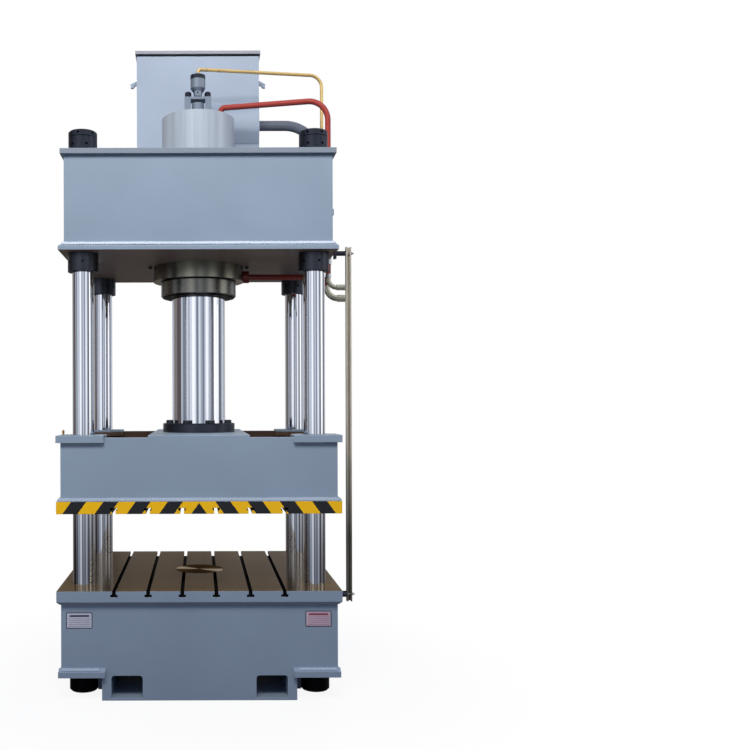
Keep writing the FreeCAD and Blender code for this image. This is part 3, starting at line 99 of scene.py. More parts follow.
def blendFinish(tree, shader, mask, **finish):
    # where mask is 1 the shader takes these values instead of those it has
    for key, value in finish.items():
        socket = shader.inputs[key.replace("_", " ")]
        isColour = socket.type == "RGBA"
        a, b = (6, 7) if isColour else (2, 3)
        old = socket.links[0].from_socket if socket.is_linked else socket.default_value
        if isColour and not isinstance(old, bpy.types.NodeSocket):
            old = tuple(old)
        mix = addNode(tree, "Mix", {0: mask, a: old, b: value},
                      data_type="RGBA" if isColour else "FLOAT")
        tree.links.new(mix.outputs[2 if isColour else 0], socket)


view = {
    "place": (0.0, -4.745, 1.389),  # metres; the lens looks level along +Y
    "lens": 42.78, "sensor": 36.0, "shift": (0.2349, 0.0407), "roll": 0.003,
}
cameraData = bpy.data.cameras.new("camera")
cameraData.lens, cameraData.sensor_width = view["lens"], view["sensor"]
cameraData.shift_x, cameraData.shift_y = view["shift"]
camera = bpy.data.objects.new("camera", cameraData)
camera.location = view["place"]
camera.rotation_euler = (math.pi / 2, view["roll"], 0)
bpy.context.scene.collection.objects.link(camera)
bpy.context.scene.camera = camera
bpy.context.scene.view_settings.view_transform = "Standard"
print("camera placed")

studio = {
    "floorRadius": 14.0, "floorColour": "#E9EAEC", "horizonColour": "#FFFFFF", "floorShade": 0.09,
    "floorFade": (0.9, 1.9),  # metres from the axis between which the floor fades to white
    "floorUnder": 0.0005,     # metres below the feet
    "ambient": "#A8BEFF", "ambientStrength": 0.44, "lampColour": "#FFFAF2", "bounce": "#78746F",
    "spread": 2.3,            # radians that each lamp shines over
    "lamps": [  # name, place, aim, width, height, watts
        ("keyLamp", (-0.3, -3.9, 5.2), (0.1, 0.0, 2.9), 3.2, 1.8, 165),
        ("windowLamp", (-3.4, -2.6, 0.9), (-0.5, -0.5, 0.8), 1.2, 1.2, 6),
        ("rearLamp", (2.6, 4.2, 4.0), (0.0, 0.0, 1.8), 3.0, 2.4, 85),
        ("sideLamp", (-4.8, 1.2, 3.2), (0.0, 0.0, 1.6), 2.6, 2.6, 45),
    ],
}


def makeLamps():
    for name, place, aim, width, height, watts in studio["lamps"]:
        lampData = bpy.data.lights.new(name, "AREA")
        lampData.shape, lampData.size, lampData.size_y = "RECTANGLE", width, height
        lampData.energy, lampData.spread = watts, studio["spread"]
        lampData.color = toLinear(studio["lampColour"])[:3]
        lamp = bpy.data.objects.new(name, lampData)
        lamp.location = place
        direction = np.array(aim) - place
        pitch = math.acos(-direction[2] / np.linalg.norm(direction))
        lamp.rotation_euler = (pitch, 0, math.atan2(direction[1], direction[0]) - math.pi / 2)
        lamp.visible_camera = lamp.visible_glossy = False
        bpy.context.scene.collection.objects.link(lamp)


room = {
    # what polished metal reflects: placed so that chrome shows upright bands
    "strength": 1.5,
    "streaks": 15.0, "streakDepth": 0.55, "streakTop": 1.08, "streakNoise": (0.36, 0.50),
    # heights of a ray, from -1 straight down to 1 straight up: where the walls take over from the
    # ground, and where the ground turns into what lies right under the press
    "horizon": (-0.2, 0.03), "steep": (-0.30, -0.60),
    "tones": {"glow": "#FAFCFF", "lit": "#D0D6E0", "wall": "#A2AAB6", "dull": "#6E7682",
              "dark": "#4A4E58", "plum": "#564E50", "rear": "#7E7874"},
    # degrees round the press from the front, left below zero, with the tone that stands there
    "panels": [(-180, "rear"), (-164, "rear"), (-156, "lit"), (-146, "wall"), (-138, "rear"),
               (-114, "rear"), (-104, "plum"), (-84, "plum"), (-79, "lit"), (-70, "dull"),
               (-64, "dull"), (-54, "lit"), (-42, "wall"), (-34, "lit"), (-22, "glow"),
               (-13, "lit"), (-9, "dull"), (-4, "dull"), (1, "lit"), (13, "wall"), (20, "dull"),
               (26, "wall"), (35, "glow"), (50, "wall"), (62, "dark"), (67, "dark"), (71, "glow"),
               (92, "glow"), (103, "dark"), (112, "dull"), (128, "lit"), (180, "rear")],
    "below": [(0.0, "#B0ACA8"), (0.12, "#A4A09C"), (0.2, "#5A5654"), (0.26, "#5A5654"),
              (0.36, "#8E8F94"), (0.43, "#B8BABE"), (0.5, "#7E8086"), (0.56, "#A0A2A8"),
              (0.62, "#7E8086"), (0.73, "#5A5654"), (0.82, "#5A5654"), (0.9, "#A4A09C"),
              (1.0, "#B0ACA8")],
    "underfoot": "#A09E9A",
}


def makeWorld():
    # soft grey-blue ambient for matt surfaces and white for the camera; polished metal sees, in
    # place of that white, a workshop with upright bands: bright in front, dim and brown behind
    world = bpy.data.worlds.new("studioRoom")
    world.use_nodes = True
    bpy.context.scene.world = world
    tree = world.node_tree
    paths = addNode(tree, "LightPath").outputs
    ray = addNode(tree, "TexCoord").outputs["Generated"]
    axes = addNode(tree, "SeparateXYZ", {0: ray}).outputs
    ahead = addNode(tree, "Math", {0: axes[1], 1: -1.0}, operation="MULTIPLY").outputs[0]
    turn = addNode(tree, "Math", {0: axes[0], 1: ahead}, operation="ARCTAN2").outputs[0]
    bearing = addNode(tree, "MapRange", {0: turn, 1: -math.pi, 2: math.pi}).outputs[0]
    walls = addNode(tree, "ValToRGB", {0: bearing}, stops=[
        (0.5 + degrees / 360, room["tones"][tone]) for degrees, tone in room["panels"]]).outputs[0]
    fine = addNode(tree, "TexNoise", {"W": turn, "Scale": room["streaks"], "Detail": 3.0},
                   noise_dimensions="1D").outputs[0]
    thin, thick = room["streakNoise"]
    depth = addNode(tree, "MapRange", {0: fine, 1: thin, 2: thick, 3: 1 - room["streakDepth"],
                                       4: room["streakTop"]}).outputs[0]
    lit = addNode(tree, "Mix", {0: 1.0, 6: walls, 7: depth}, data_type="RGBA",
                  blend_type="MULTIPLY").outputs[2]
    low = addNode(tree, "MapRange", {0: axes[2], 1: room["horizon"][0], 2: room["horizon"][1]},
                  interpolation_type="SMOOTHSTEP").outputs[0]
    ground = addNode(tree, "ValToRGB", {0: bearing}, stops=room["below"]).outputs[0]
    steep = addNode(tree, "MapRange", {0: axes[2], 1: room["steep"][0],
                                       2: room["steep"][1]}).outputs[0]
    ground = addNode(tree, "Mix", {0: steep, 6: ground, 7: toLinear(room["underfoot"])},
                     data_type="RGBA").outputs[2]
    shade = addNode(tree, "Mix", {0: low, 6: ground, 7: (1, 1, 1, 1)}, data_type="RGBA").outputs[2]
    polished = addNode(tree, "Mix", {0: 1.0, 6: lit, 7: shade},
                       data_type="RGBA", blend_type="MULTIPLY").outputs[2]
    seen = addNode(tree, "Math", {0: paths["Is Camera Ray"], 1: paths["Is Transmission Ray"]},
                   operation="MAXIMUM").outputs[0]
    plain = addNode(tree, "Background", {0: toLinear(studio["ambient"]),
                                         1: studio["ambientStrength"]}).outputs[0]
    mirror = addNode(tree, "Background", {0: polished, 1: room["strength"]}).outputs[0]
    white = addNode(tree, "Background", {0: toLinear(studio["horizonColour"]), 1: 1.0}).outputs[0]
    first = addNode(tree, "MixShader", {0: paths["Is Glossy Ray"], 1: plain, 2: mirror}).outputs[0]
    last = addNode(tree, "MixShader", {0: seen, 1: first, 2: white}).outputs[0]
    tree.links.new(last, tree.nodes["World Output"].inputs["Surface"])


def makeFloor():
    # disc of rings: radius grows with v, angle with u; pale, fading to white far away
    u, v = np.meshgrid(np.linspace(0, 2 * np.pi, 97), np.linspace(0.001, 1, 24) ** 2)
    radius = v * studio["floorRadius"]
    points = np.stack([radius * np.cos(u), radius * np.sin(u), 0 * u - studio["floorUnder"]],
                      axis=-1)
    floor = meshObject("studioFloor", [points])
    floor.visible_glossy = False
    material, tree, shader, coords = newMaterial("matt studio floor", Roughness=0.9,
                                                 Specular_IOR_Level=0.1)
    shader.inputs["Base Color"].default_value = toLinear(studio["floorColour"])
    far = addNode(tree, "VectorMath", {0: coords}, operation="LENGTH").outputs["Value"]
    near, beyond = studio["floorFade"]
    fade = addNode(tree, "MapRange", {0: far, 1: near, 2: beyond, 3: 1 - studio["floorShade"],
                                      4: 1.0}, interpolation_type="SMOOTHSTEP").outputs[0]
    paths = addNode(tree, "LightPath").outputs
    seen = addNode(tree, "Math", {0: fade, 1: paths["Is Camera Ray"]}, operation="MULTIPLY")
    white = addNode(tree, "Emission", {0: toLinear(studio["horizonColour"]), 1: 1.0}).outputs[0]
    dim = addNode(tree, "BsdfDiffuse", {0: toLinear(studio["bounce"])}).outputs[0]
    lit = addNode(tree, "MixShader", {0: paths["Is Diffuse Ray"], 1: shader.outputs[0],
                                      2: dim}).outputs[0]
    mixed = addNode(tree, "MixShader", {0: seen.outputs[0], 1: lit, 2: white}).outputs[0]
    tree.links.new(mixed, tree.nodes["Material Output"].inputs["Surface"])
    floor.data.materials.append(material)


def gridFaces(points, roundU=False, roundV=False):
    # quads over a grid of points [v, u, xyz]; a round direction joins its end to its start
    rows, cols = points.shape[:2]
    index = np.arange(rows * cols).reshape(rows, cols)
    if roundV:
        index = np.vstack([index, index[:1]])
    if roundU:
        index = np.hstack([index, index[:, :1]])
    quads = np.stack([index[:-1, :-1], index[:-1, 1:], index[1:, 1:], index[1:, :-1]], axis=-1)
    return quads.reshape(-1, 4)


def meshObject(name, grids, roundU=False, roundV=False):
    # one object of several grids; poles and seams are merged and the faces turned outwards
    starts = np.cumsum([0] + [grid[..., 0].size for grid in grids])
    points = np.concatenate([grid.reshape(-1, 3) for grid in grids])
    faces = np.concatenate([gridFaces(grid, roundU, roundV) + start
                            for grid, start in zip(grids, starts)])
    mesh = bpy.data.meshes.new(name)
    mesh.from_pydata(points.tolist(), [], faces.tolist())
    shell = bmesh.new()
    shell.from_mesh(mesh)
    bmesh.ops.remove_doubles(shell, verts=shell.verts, dist=1e-6)
    bmesh.ops.recalc_face_normals(shell, faces=shell.faces)
    shell.to_mesh(mesh)
    shell.free()
    mesh.polygons.foreach_set("use_smooth", np.ones(len(mesh.polygons), bool))
    piece = bpy.data.objects.new(name, mesh)
    bpy.context.scene.collection.objects.link(piece)
    return piece


def framePath(half, corner, perRun):
    # closed path round a rectangle, half its size given, with rounded corners: quarter circles of
    # radius corner and straight runs between them, for all four sides at once. Gives the places,
    # the outward directions and the distance run
    signs = np.array([[1, -1], [1, 1], [-1, 1], [-1, -1]])
    angle = np.radians(np.arange(4)[:, None] * 90 - 90 + np.linspace(0, 90, 7))
    out = np.stack([np.cos(angle), np.sin(angle)], axis=-1)
    arcs = (signs * (np.array(half) - corner))[:, None] + corner * out
    share = np.linspace(0, 1, perRun)[1:-1, None]
    runs = arcs[:, -1:] * (1 - share) + np.roll(arcs, -1, axis=0)[:, :1] * share
    runOut = np.repeat(out[:, -1:], perRun - 2, axis=1)
    places = np.concatenate([arcs, runs], axis=1).reshape(-1, 2)
    outward = np.concatenate([out, runOut], axis=1).reshape(-1, 2)
    steps = np.linalg.norm(np.roll(places, -1, axis=0) - places, axis=1)
    return places, outward, np.concatenate([[0], np.cumsum(steps)[:-1]])


makeLamps()
makeWorld()
makeFloor()
print("studio built")


paint = {
    "body": "#8595A4", "tank": "#95A2B1", "returnPipe": "#5F6570", "red": "#963226",
    "roofEdge": "#7A848F", "lid": "#8E9299", "valve": "#6F7A88", "slide": "#8C9DAB",
    "litCrownWeld": "#C2CDD8", "litLowerWeld": "#A0ADBA", "primerAndShade": "#7E6C60", "recessPrimerShade": "#5E4A3C",
    "roughness": 0.42, "dusty": (-0.08, 0.1),  # the least and most that dust adds to it
    "cloudMm": 420, "cloudTones": (0.94, 1.05), "dustMm": 60, "peelMm": 5.0, "peelDeep": 0.0004,
    # painted highlight along edges: width, share of the highlight tone, how much paler it is, and
    # its palest
    "edgeMm": 3.0, "edgePale": 0.7, "edgeTone": 1.9, "edgeMost": 0.9,
    "hazardYellow": "#F9C100", "hazardBlack": "#0B0B0D",
}


def makePaint(name, colour, roughness=None, plated=True):
    # two-pack enamel, sprayed: an even satin colour with faint clouds, orange peel and dust specks;
    # on plates the edges, broken by the grinder, get a painted highlight: a paler colour along them
    material, tree, shader, coords = newMaterial(name, IOR=1.5, Coat_Weight=0.12)
    base = np.array(toLinear(colour)[:3])
    clouds = addNode(tree, "TexNoise", {"Vector": coords, "Scale": 1000 / paint["cloudMm"],
                                        "Detail": 4.0}).outputs[0]
    tint = addNode(tree, "ValToRGB", {0: clouds}, stops=[(0.3, 0.0), (0.7, 1.0)]).outputs[0]
    dark, pale = paint["cloudTones"]
    mix = addNode(tree, "Mix", {0: tint, 6: (*base * dark, 1), 7: (*base * pale, 1)},
                  data_type="RGBA").outputs[2]
    broken = true = addNode(tree, "NewGeometry").outputs["Normal"]
    if plated:
        broken = addNode(tree, "Bevel", {"Radius": paint["edgeMm"] / 1000}, samples=6).outputs[0]
        same = addNode(tree, "VectorMath", {0: broken, 1: true}, operation="DOT_PRODUCT")
        edge = addNode(tree, "MapRange", {0: same.outputs["Value"], 1: 0.995, 2: 0.85, 3: 0.0,
                                          4: paint["edgePale"]}).outputs[0]
        # painted highlight: the edges are coloured paler, as if they caught the light
        edgeHighlight = np.minimum(base * paint["edgeTone"], paint["edgeMost"])
        mix = addNode(tree, "Mix", {0: edge, 6: mix, 7: (*edgeHighlight, 1)},
                      data_type="RGBA").outputs[2]
    tree.links.new(mix, shader.inputs["Base Color"])
    dust = addNode(tree, "TexNoise", {"Vector": coords, "Scale": 1000 / paint["dustMm"],
                                      "Detail": 6.0}).outputs[0]
    level = roughness or paint["roughness"]
    clean, dusty = paint["dusty"]
    rough = addNode(tree, "MapRange", {0: dust, 3: level + clean, 4: level + dusty}).outputs[0]
    tree.links.new(rough, shader.inputs["Roughness"])
    peel = addNode(tree, "TexNoise", {"Vector": coords, "Scale": 1000 / paint["peelMm"],
                                      "Detail": 1.0}).outputs[0]
    bump = addNode(tree, "Bump", {"Height": peel, "Strength": 0.12,
                                  "Distance": paint["peelDeep"], "Normal": broken})
    tree.links.new(bump.outputs[0], shader.inputs["Normal"])
    return material, tree, shader, coords


metals = {
    # colour, roughness, grain in lines per metre along X, Y and Z, depth of the colour change
    "hard chrome plate": ("#DCDDE2", 0.06, (40, 40, 900), 0.03),
    # turned steel's upright streaks are painted reflections
    "turned steel": ("#AFB8C0", 0.42, (58, 58, 1.2), 0.27),
    "satin steel": ("#8C96A2", 0.34, (60, 60, 500), 0.15),
    "ground steel": ("#BDBAB4", 0.22, (500, 40, 40), 0.10),
    "black oxide": ("#42454E", 0.42, (120, 120, 120), 0.25),
    "blued steel": ("#46484F", 0.40, (120, 120, 120), 0.25),
    # a darker copy of black oxide: painted shade for the nuts under the bed
    "black oxide darkened as shade": ("#0D0D0F", 0.50, (120, 120, 120), 0.25),
    "phosphated steel": ("#797770", 0.25, (36, 36, 500), 0.20),
    "bearing bronze": ("#A9803F", 0.30, (300, 300, 300), 0.15),
    "yellow zinc": ("#F2CE88", 0.30, (30, 30, 30), 0.10),
    "pale zinc": ("#CEC7B2", 0.34, (60, 60, 60), 0.30),
    "olive zinc": ("#BCB5A2", 0.36, (70, 70, 10), 0.30),
    "bright zinc": ("#C6C9CC", 0.26, (200, 200, 200), 0.10),
}
toolLines = (0.7, 1.3)  # lowest and highest roughness along the lines, as shares of the metal's


def makeMetal(name, metallic=1.0):
    # bare or plated metal: a tinted mirror broken up by tool lines that run along one direction
    colour, roughness, grain, depth = metals[name]
    material, tree, shader, coords = newMaterial(name, Metallic=metallic)
    place = addNode(tree, "Mapping", {0: coords, 3: grain}).outputs[0]
    lines = addNode(tree, "TexNoise", {"Vector": place, "Scale": 1.0, "Detail": 3.0}).outputs[0]
    base = np.array(toLinear(colour)[:3])
    mix = addNode(tree, "Mix", {0: lines, 6: (*base * (1 - depth), 1),
                                7: (*np.minimum(base * (1 + depth), 1), 1)},
                  data_type="RGBA").outputs[2]
    tree.links.new(mix, shader.inputs["Base Color"])
    smooth, coarse = toolLines
    rough = addNode(tree, "MapRange", {0: lines, 3: roughness * smooth,
                                       4: roughness * coarse}).outputs[0]
    tree.links.new(rough, shader.inputs["Roughness"])
    return material, tree, shader, coords


def makeRubber():
    # nitrile seal rubber: moulded, matt and nearly black with a fine grain
    material, tree, shader, coords = newMaterial("nitrile rubber", Roughness=0.62, IOR=1.52)
    grain = addNode(tree, "TexNoise", {"Vector": coords, "Scale": 900.0}).outputs[0]
    tint = addNode(tree, "ValToRGB", {0: grain}, stops=[(0.3, "#17181A"), (0.7, "#222327")])
    tree.links.new(tint.outputs[0], shader.inputs["Base Color"])
    return material


def dress(material, *names):
    for name in names:
        nodes[name].material_slots[0].material = material


tableLow, tableHigh = corners("table_plate")
slideLow, slideHigh = corners("slide_plate")
frameLow, frameHigh = corners("slide_frame")
crownLow, crownHigh = corners("crown_frame")
columnAxis = np.abs(np.mean(corners("column_front_left"), axis=0))[:2]


primerShadeReach = {
    # metres: skin of the crown's underside, its roof plate's edge, and the slide's open pockets
    "skin": 0.0008, "roofPlate": 0.025, "roofSkin": 0.0005, "pocketIn": 0.045, "pocketRim": 0.0105,
    "roughness": 0.7,
}


def dressFrames():
    bodyPaint = makePaint("satin machine enamel", paint["body"])[0]
    dress(bodyPaint, "bed_frame", "pipe_clamps")
    dress(makePaint("valve enamel", paint["valve"])[0], "prefill_yoke", "prefill_housing")
    # the crown's underside is painted brown: primer, darkened with painted shade under the crown
    crown, tree, shader, coords = makePaint("crown enamel over primer and painted shade", paint["body"])
    under = insideBox(tree, coords, crownLow - 1, [1, 1, crownLow[2] + primerShadeReach["skin"]])
    blendFinish(tree, shader, under, Base_Color=toLinear(paint["primerAndShade"]), Roughness=0.5)
    edge = insideBox(tree, coords, [-1, -1, crownHigh[2] - primerShadeReach["roofPlate"]],
                     [1, 1, crownHigh[2] - primerShadeReach["roofSkin"]])
    blendFinish(tree, shader, edge, Base_Color=toLinear(paint["roofEdge"]))
    dress(crown, "crown_frame")
    # the slide's enamel is a lighter copy of the body enamel: painted light
    # the open pockets of the slide are painted dark brown: primer, darkened further with painted
    # shade
    slide, tree, shader, coords = makePaint("lighter slide enamel over primer and painted shade", paint["slide"])
    reach = frameHigh - [primerShadeReach["pocketIn"], primerShadeReach["pocketIn"], primerShadeReach["pocketRim"]]
    pocket = insideBox(tree, coords, [-reach[0], -reach[1], frameLow[2]], reach)
    blendFinish(tree, shader, pocket, Base_Color=toLinear(paint["recessPrimerShade"]),
                Roughness=primerShadeReach["roughness"])
    dress(slide, "slide_frame")
    # the tank's enamel is a lighter copy of the body enamel: painted light
    tank = makePaint("tank enamel painted lighter", paint["tank"], 0.36)[0]
    dress(tank, "tank_shell", "suction_duct", "tank_hooks")
    dress(makePaint("lid enamel", paint["lid"], 0.4)[0], "tank_lid")
    dress(makePaint("grey pipe enamel", paint["returnPipe"], 0.28, False)[0], "tank_pipe")
    dress(makePaint("red pipe enamel", paint["red"], 0.3, False)[0], "upper_pipe", "lower_pipe",
          "upper_coupling")


# oil: the near-black colour of the painted shade in the gland's end grooves
cylinder = {"shoulder": "#888679", "shoulderUp": 0.05,  # metres above the crown's underside
            "oil": "#1C1B1A", "shadeLow": 0.005, "shadeHigh": 0.004}  # metres at the gland's two ends


def dressCylinder():
    # the head of the main cylinder is turned steel with broad upright streaks, painted reflections
    # in its colour; its shoulder under the crown and the gland are phosphated, dark grey
    material, tree, shader, coords = makeMetal("turned steel", 0.42)
    shoulder = insideBox(tree, coords, [-1, -1, 0], [1, 1, crownLow[2] + cylinder["shoulderUp"]])
    blendFinish(tree, shader, shoulder, Base_Color=toLinear(cylinder["shoulder"]), Metallic=1.0,
                Roughness=metals["phosphated steel"][1])
    dress(material, "main_cylinder", "ejector_cylinder", "cylinder_ring_nut")
    dress(makeMetal("satin steel", 0.7)[0], "pilot_cylinder")
    # the gland has a black line over and under its ring: painted shade in the grooves at its ends
    gland, tree, shader, coords = makeMetal("phosphated steel")
    low, high = corners("gland_ring")
    clean = insideBox(tree, coords, [*low[:2], low[2] + cylinder["shadeLow"]],
                      [*high[:2], high[2] - cylinder["shadeHigh"]])
    grooveShade = addNode(tree, "Math", {0: 1.0, 1: clean}, operation="SUBTRACT").outputs[0]
    blendFinish(tree, shader, grooveShade, Base_Color=toLinear(cylinder["oil"]), Roughness=0.5)
    dress(gland, "gland_ring", "gland_screws")


hazard = {"slope": 0.72, "pitch": 0.151, "blackWidth": 0.071, "start": 0.034}
slideSteel = {
    "colour": "#3A352F", "below": 0.01, "side": 0.001,
    # metres that a box of paint keeps off the plate's faces, or reaches past them
    "frontSkin": 0.0005, "topSkin": 0.0003, "roofSkin": 0.0005, "floorSkin": 0.001,
}


def dressSlidePlate():
    # front edge: slanted black and yellow warning bands that mirror about the middle
    material, tree, shader, coords = makePaint("warning enamel", paint["body"], 0.5)
    axes = addNode(tree, "SeparateXYZ", {0: coords}).outputs
    across = addNode(tree, "Math", {0: axes[0]}, operation="ABSOLUTE").outputs[0]
    rise = addNode(tree, "Math", {0: axes[2], 1: slideLow[2]}, operation="SUBTRACT").outputs[0]
    slant = addNode(tree, "Math", {0: rise, 1: hazard["slope"], 2: across},
                    operation="MULTIPLY_ADD").outputs[0]
    moved = addNode(tree, "Math", {0: slant, 1: hazard["start"]}, operation="ADD").outputs[0]
    share = addNode(tree, "Math", {0: moved, 1: hazard["pitch"]}, operation="MODULO").outputs[0]
    black = addNode(tree, "Math", {0: share, 1: hazard["blackWidth"]},
                    operation="LESS_THAN").outputs[0]
    bands = addNode(tree, "Mix", {0: black, 6: toLinear(paint["hazardYellow"]),
                                  7: toLinear(paint["hazardBlack"])}, data_type="RGBA").outputs[2]
    front = insideBox(tree, coords, [-2, -2, 0], [2, slideLow[1] + slideSteel["frontSkin"],
                                                  slideHigh[2] - slideSteel["topSkin"]])
    blendFinish(tree, shader, front, Base_Color=bands)
    # bare steel underneath and in the slots
    side = slideSteel["side"]
    inner = insideBox(tree, coords, slideLow + [side, side, -slideSteel["below"]],
                      slideHigh - [side, side, slideSteel["roofSkin"]])
    blendFinish(tree, shader, inner, Base_Color=toLinear(slideSteel["colour"]), Metallic=0.8)
    # the plate is the floor of the frame's open pockets, dark brown like them: primer with painted
    # shade
    reach = frameHigh[:2] - primerShadeReach["pocketIn"]
    pocket = insideBox(tree, coords, [*-reach, slideHigh[2] - slideSteel["floorSkin"]],
                       [*reach, slideHigh[2] + slideSteel["floorSkin"]])
    blendFinish(tree, shader, pocket, Base_Color=toLinear(paint["recessPrimerShade"]), Metallic=0.0,
                Roughness=primerShadeReach["roughness"])
    dress(material, "slide_plate")


tableLook = {
    "steel": "#7E6549", "oil": "#5A4630", "grease": "#A87C2C", "goldenRim": "#9E8758",
    "slot": "#0B0A0A", "sheen": "#B0A898", "lineMm": 9.0,
    # metres: the golden rim's width, the greasy ring's start and end, and depths from the top
    "rim": 0.075, "ringFrom": 0.056, "ringTo": 0.088, "topSkin": 0.0004, "slotDeep": 0.035,
    "slotSkin": 0.0006,
    "rimShare": 1.2, "ringShare": 0.6,
}


def columnDistance(tree, coords):
    # distance in plan from the nearest of the four columns' axes
    flat = addNode(tree, "VectorMath", {0: coords}, operation="ABSOLUTE").outputs[0]
    axis = (*columnAxis, 0.0)
    away = addNode(tree, "VectorMath", {0: flat, 1: axis}, operation="SUBTRACT").outputs[0]
    plan = addNode(tree, "VectorMath", {0: away, 1: (1, 1, 0)}, operation="MULTIPLY").outputs[0]
    return addNode(tree, "VectorMath", {0: plan}, operation="LENGTH").outputs["Value"]


def dressTable():
    # planed steel, its brown taken for an oil film: half mirror, with tool lines along X; paler and
    # golden towards its rim and greasy round the columns
    material, tree, shader, coords = makePaint("table enamel and oiled steel", paint["body"])
    place = addNode(tree, "Mapping", {0: coords, 3: (2.0, 1000 / tableLook["lineMm"], 2.0)})
    lines = addNode(tree, "TexNoise", {"Vector": place.outputs[0], "Scale": 1.0,
                                       "Detail": 4.0}).outputs[0]
    film = addNode(tree, "TexNoise", {"Vector": coords, "Scale": 3.2, "Detail": 3.0}).outputs[0]
    both = addNode(tree, "Math", {0: lines, 1: film}, operation="MULTIPLY").outputs[0]
    brown = addNode(tree, "ValToRGB", {0: both}, stops=[
        (0.12, tableLook["oil"]), (0.42, tableLook["steel"])]).outputs[0]
    # golden rim: how far a point is past the start of the rim, broken up by the film
    flat = addNode(tree, "VectorMath", {0: coords}, operation="ABSOLUTE").outputs[0]
    past = addNode(tree, "VectorMath", {0: flat, 1: (*(tableHigh[:2] - tableLook["rim"]), 9.0)},
                   operation="SUBTRACT").outputs[0]
    axes = addNode(tree, "SeparateXYZ", {0: past}).outputs
    past = addNode(tree, "Math", {0: axes[0], 1: axes[1]}, operation="MAXIMUM").outputs[0]
    rim = addNode(tree, "MapRange", {0: past, 1: 0.0, 2: tableLook["rim"], 3: 0.0,
                                     4: tableLook["rimShare"]}).outputs[0]
    goldenRim = addNode(tree, "Math", {0: rim, 1: film}, operation="MULTIPLY").outputs[0]
    brown = addNode(tree, "Mix", {0: goldenRim, 6: brown, 7: toLinear(tableLook["goldenRim"])},
                    data_type="RGBA").outputs[2]
    away = columnDistance(tree, coords)
    ring = addNode(tree, "MapRange", {0: away, 1: tableLook["ringFrom"], 2: tableLook["ringTo"],
                                      3: tableLook["ringShare"], 4: 0.0}).outputs[0]
    brown = addNode(tree, "Mix", {0: ring, 6: brown, 7: toLinear(tableLook["grease"])},
                    data_type="RGBA").outputs[2]
    top = insideBox(tree, coords, [-2, -2, tableHigh[2] - tableLook["topSkin"]], [2, 2, 2])
    blendFinish(tree, shader, top, Base_Color=brown, Metallic=0.8, Roughness=0.16,
                Specular_Tint=toLinear(tableLook["sheen"]))
    # painted shade: the insides of the T-slots are coloured near black
    skin = tableLook["slotSkin"]
    slots = insideBox(tree, coords, [*(tableLow[:2] + skin), tableHigh[2] - tableLook["slotDeep"]],
                      tableHigh - skin)
    blendFinish(tree, shader, slots, Base_Color=toLinear(tableLook["slot"]), Roughness=0.7,
                Coat_Weight=0.0, Specular_IOR_Level=0.2)
    dress(material, "table_plate")


ejectorLook = {"face": "#6E6053", "sector": "#DCD2C2", "faceSheen": "#9C9080",
               "sectorSheen": "#F4ECDC", "sectorFrom": 0.6, "sectorTo": 0.95, "sectorTurn": 0.7}


def dressEjector():
    # faced on the lathe: fine rings round the axis stretch a highlight into two bright sectors;
    # the sectors are painted here, by the angle round the axis, and don't move with the light
    material, tree, shader, coords = newMaterial("faced ejector steel", Metallic=1.0,
                                                 Roughness=0.28, Anisotropic=0.8)
    axes = addNode(tree, "SeparateXYZ", {0: coords}).outputs
    turn = addNode(tree, "Math", {0: axes[1], 1: axes[0]}, operation="ARCTAN2").outputs[0]
    twice = addNode(tree, "Math", {0: turn, 1: 2.0, 2: ejectorLook["sectorTurn"]},
                    operation="MULTIPLY_ADD").outputs[0]
    sector = addNode(tree, "Math", {0: twice}, operation="COSINE").outputs[0]
    for socket, low, high in (("Base Color", "face", "sector"),
                              ("Specular Tint", "faceSheen", "sectorSheen")):
        tint = addNode(tree, "ValToRGB", {0: sector}, stops=[
            (ejectorLook["sectorFrom"], ejectorLook[low]),
            (ejectorLook["sectorTo"], ejectorLook[high])]).outputs[0]
        tree.links.new(tint, shader.inputs[socket])
    flat = addNode(tree, "VectorMath", {0: coords, 1: (1, 1, 0)}, operation="MULTIPLY")
    tangent = addNode(tree, "VectorMath", {0: flat.outputs[0]}, operation="NORMALIZE")
    tree.links.new(tangent.outputs[0], shader.inputs["Tangent"])
    dress(material, "ejector_head")


rail = {"darkFoot": "#3C3A34", "share": 0.85, "clean": 1.15, "darkest": 0.75}  # the last two: metres up


def dressRail():
    # olive chromated zinc, darker towards its foot, which is taken for oil and grime
    material, tree, shader, coords = makeMetal("olive zinc", 0.3)
    height = addNode(tree, "SeparateXYZ", {0: coords}).outputs[2]
    darkFoot = addNode(tree, "MapRange", {0: height, 1: rail["clean"], 2: rail["darkest"], 3: 0.0,
                                       4: rail["share"]}).outputs[0]
    blendFinish(tree, shader, darkFoot, Base_Color=toLinear(rail["darkFoot"]))
    dress(material, "switch_rail")


dressFrames()
dressSlidePlate()
dressTable()
dressEjector()
dress(makeMetal("hard chrome plate")[0], "column_front_left", "column_front_right",
      "column_rear_left", "column_rear_right", "ram", "ejector_rod")
dressCylinder()
dress(makeMetal("ground steel")[0], "ejector_piston", "piston", "prefill_poppet")
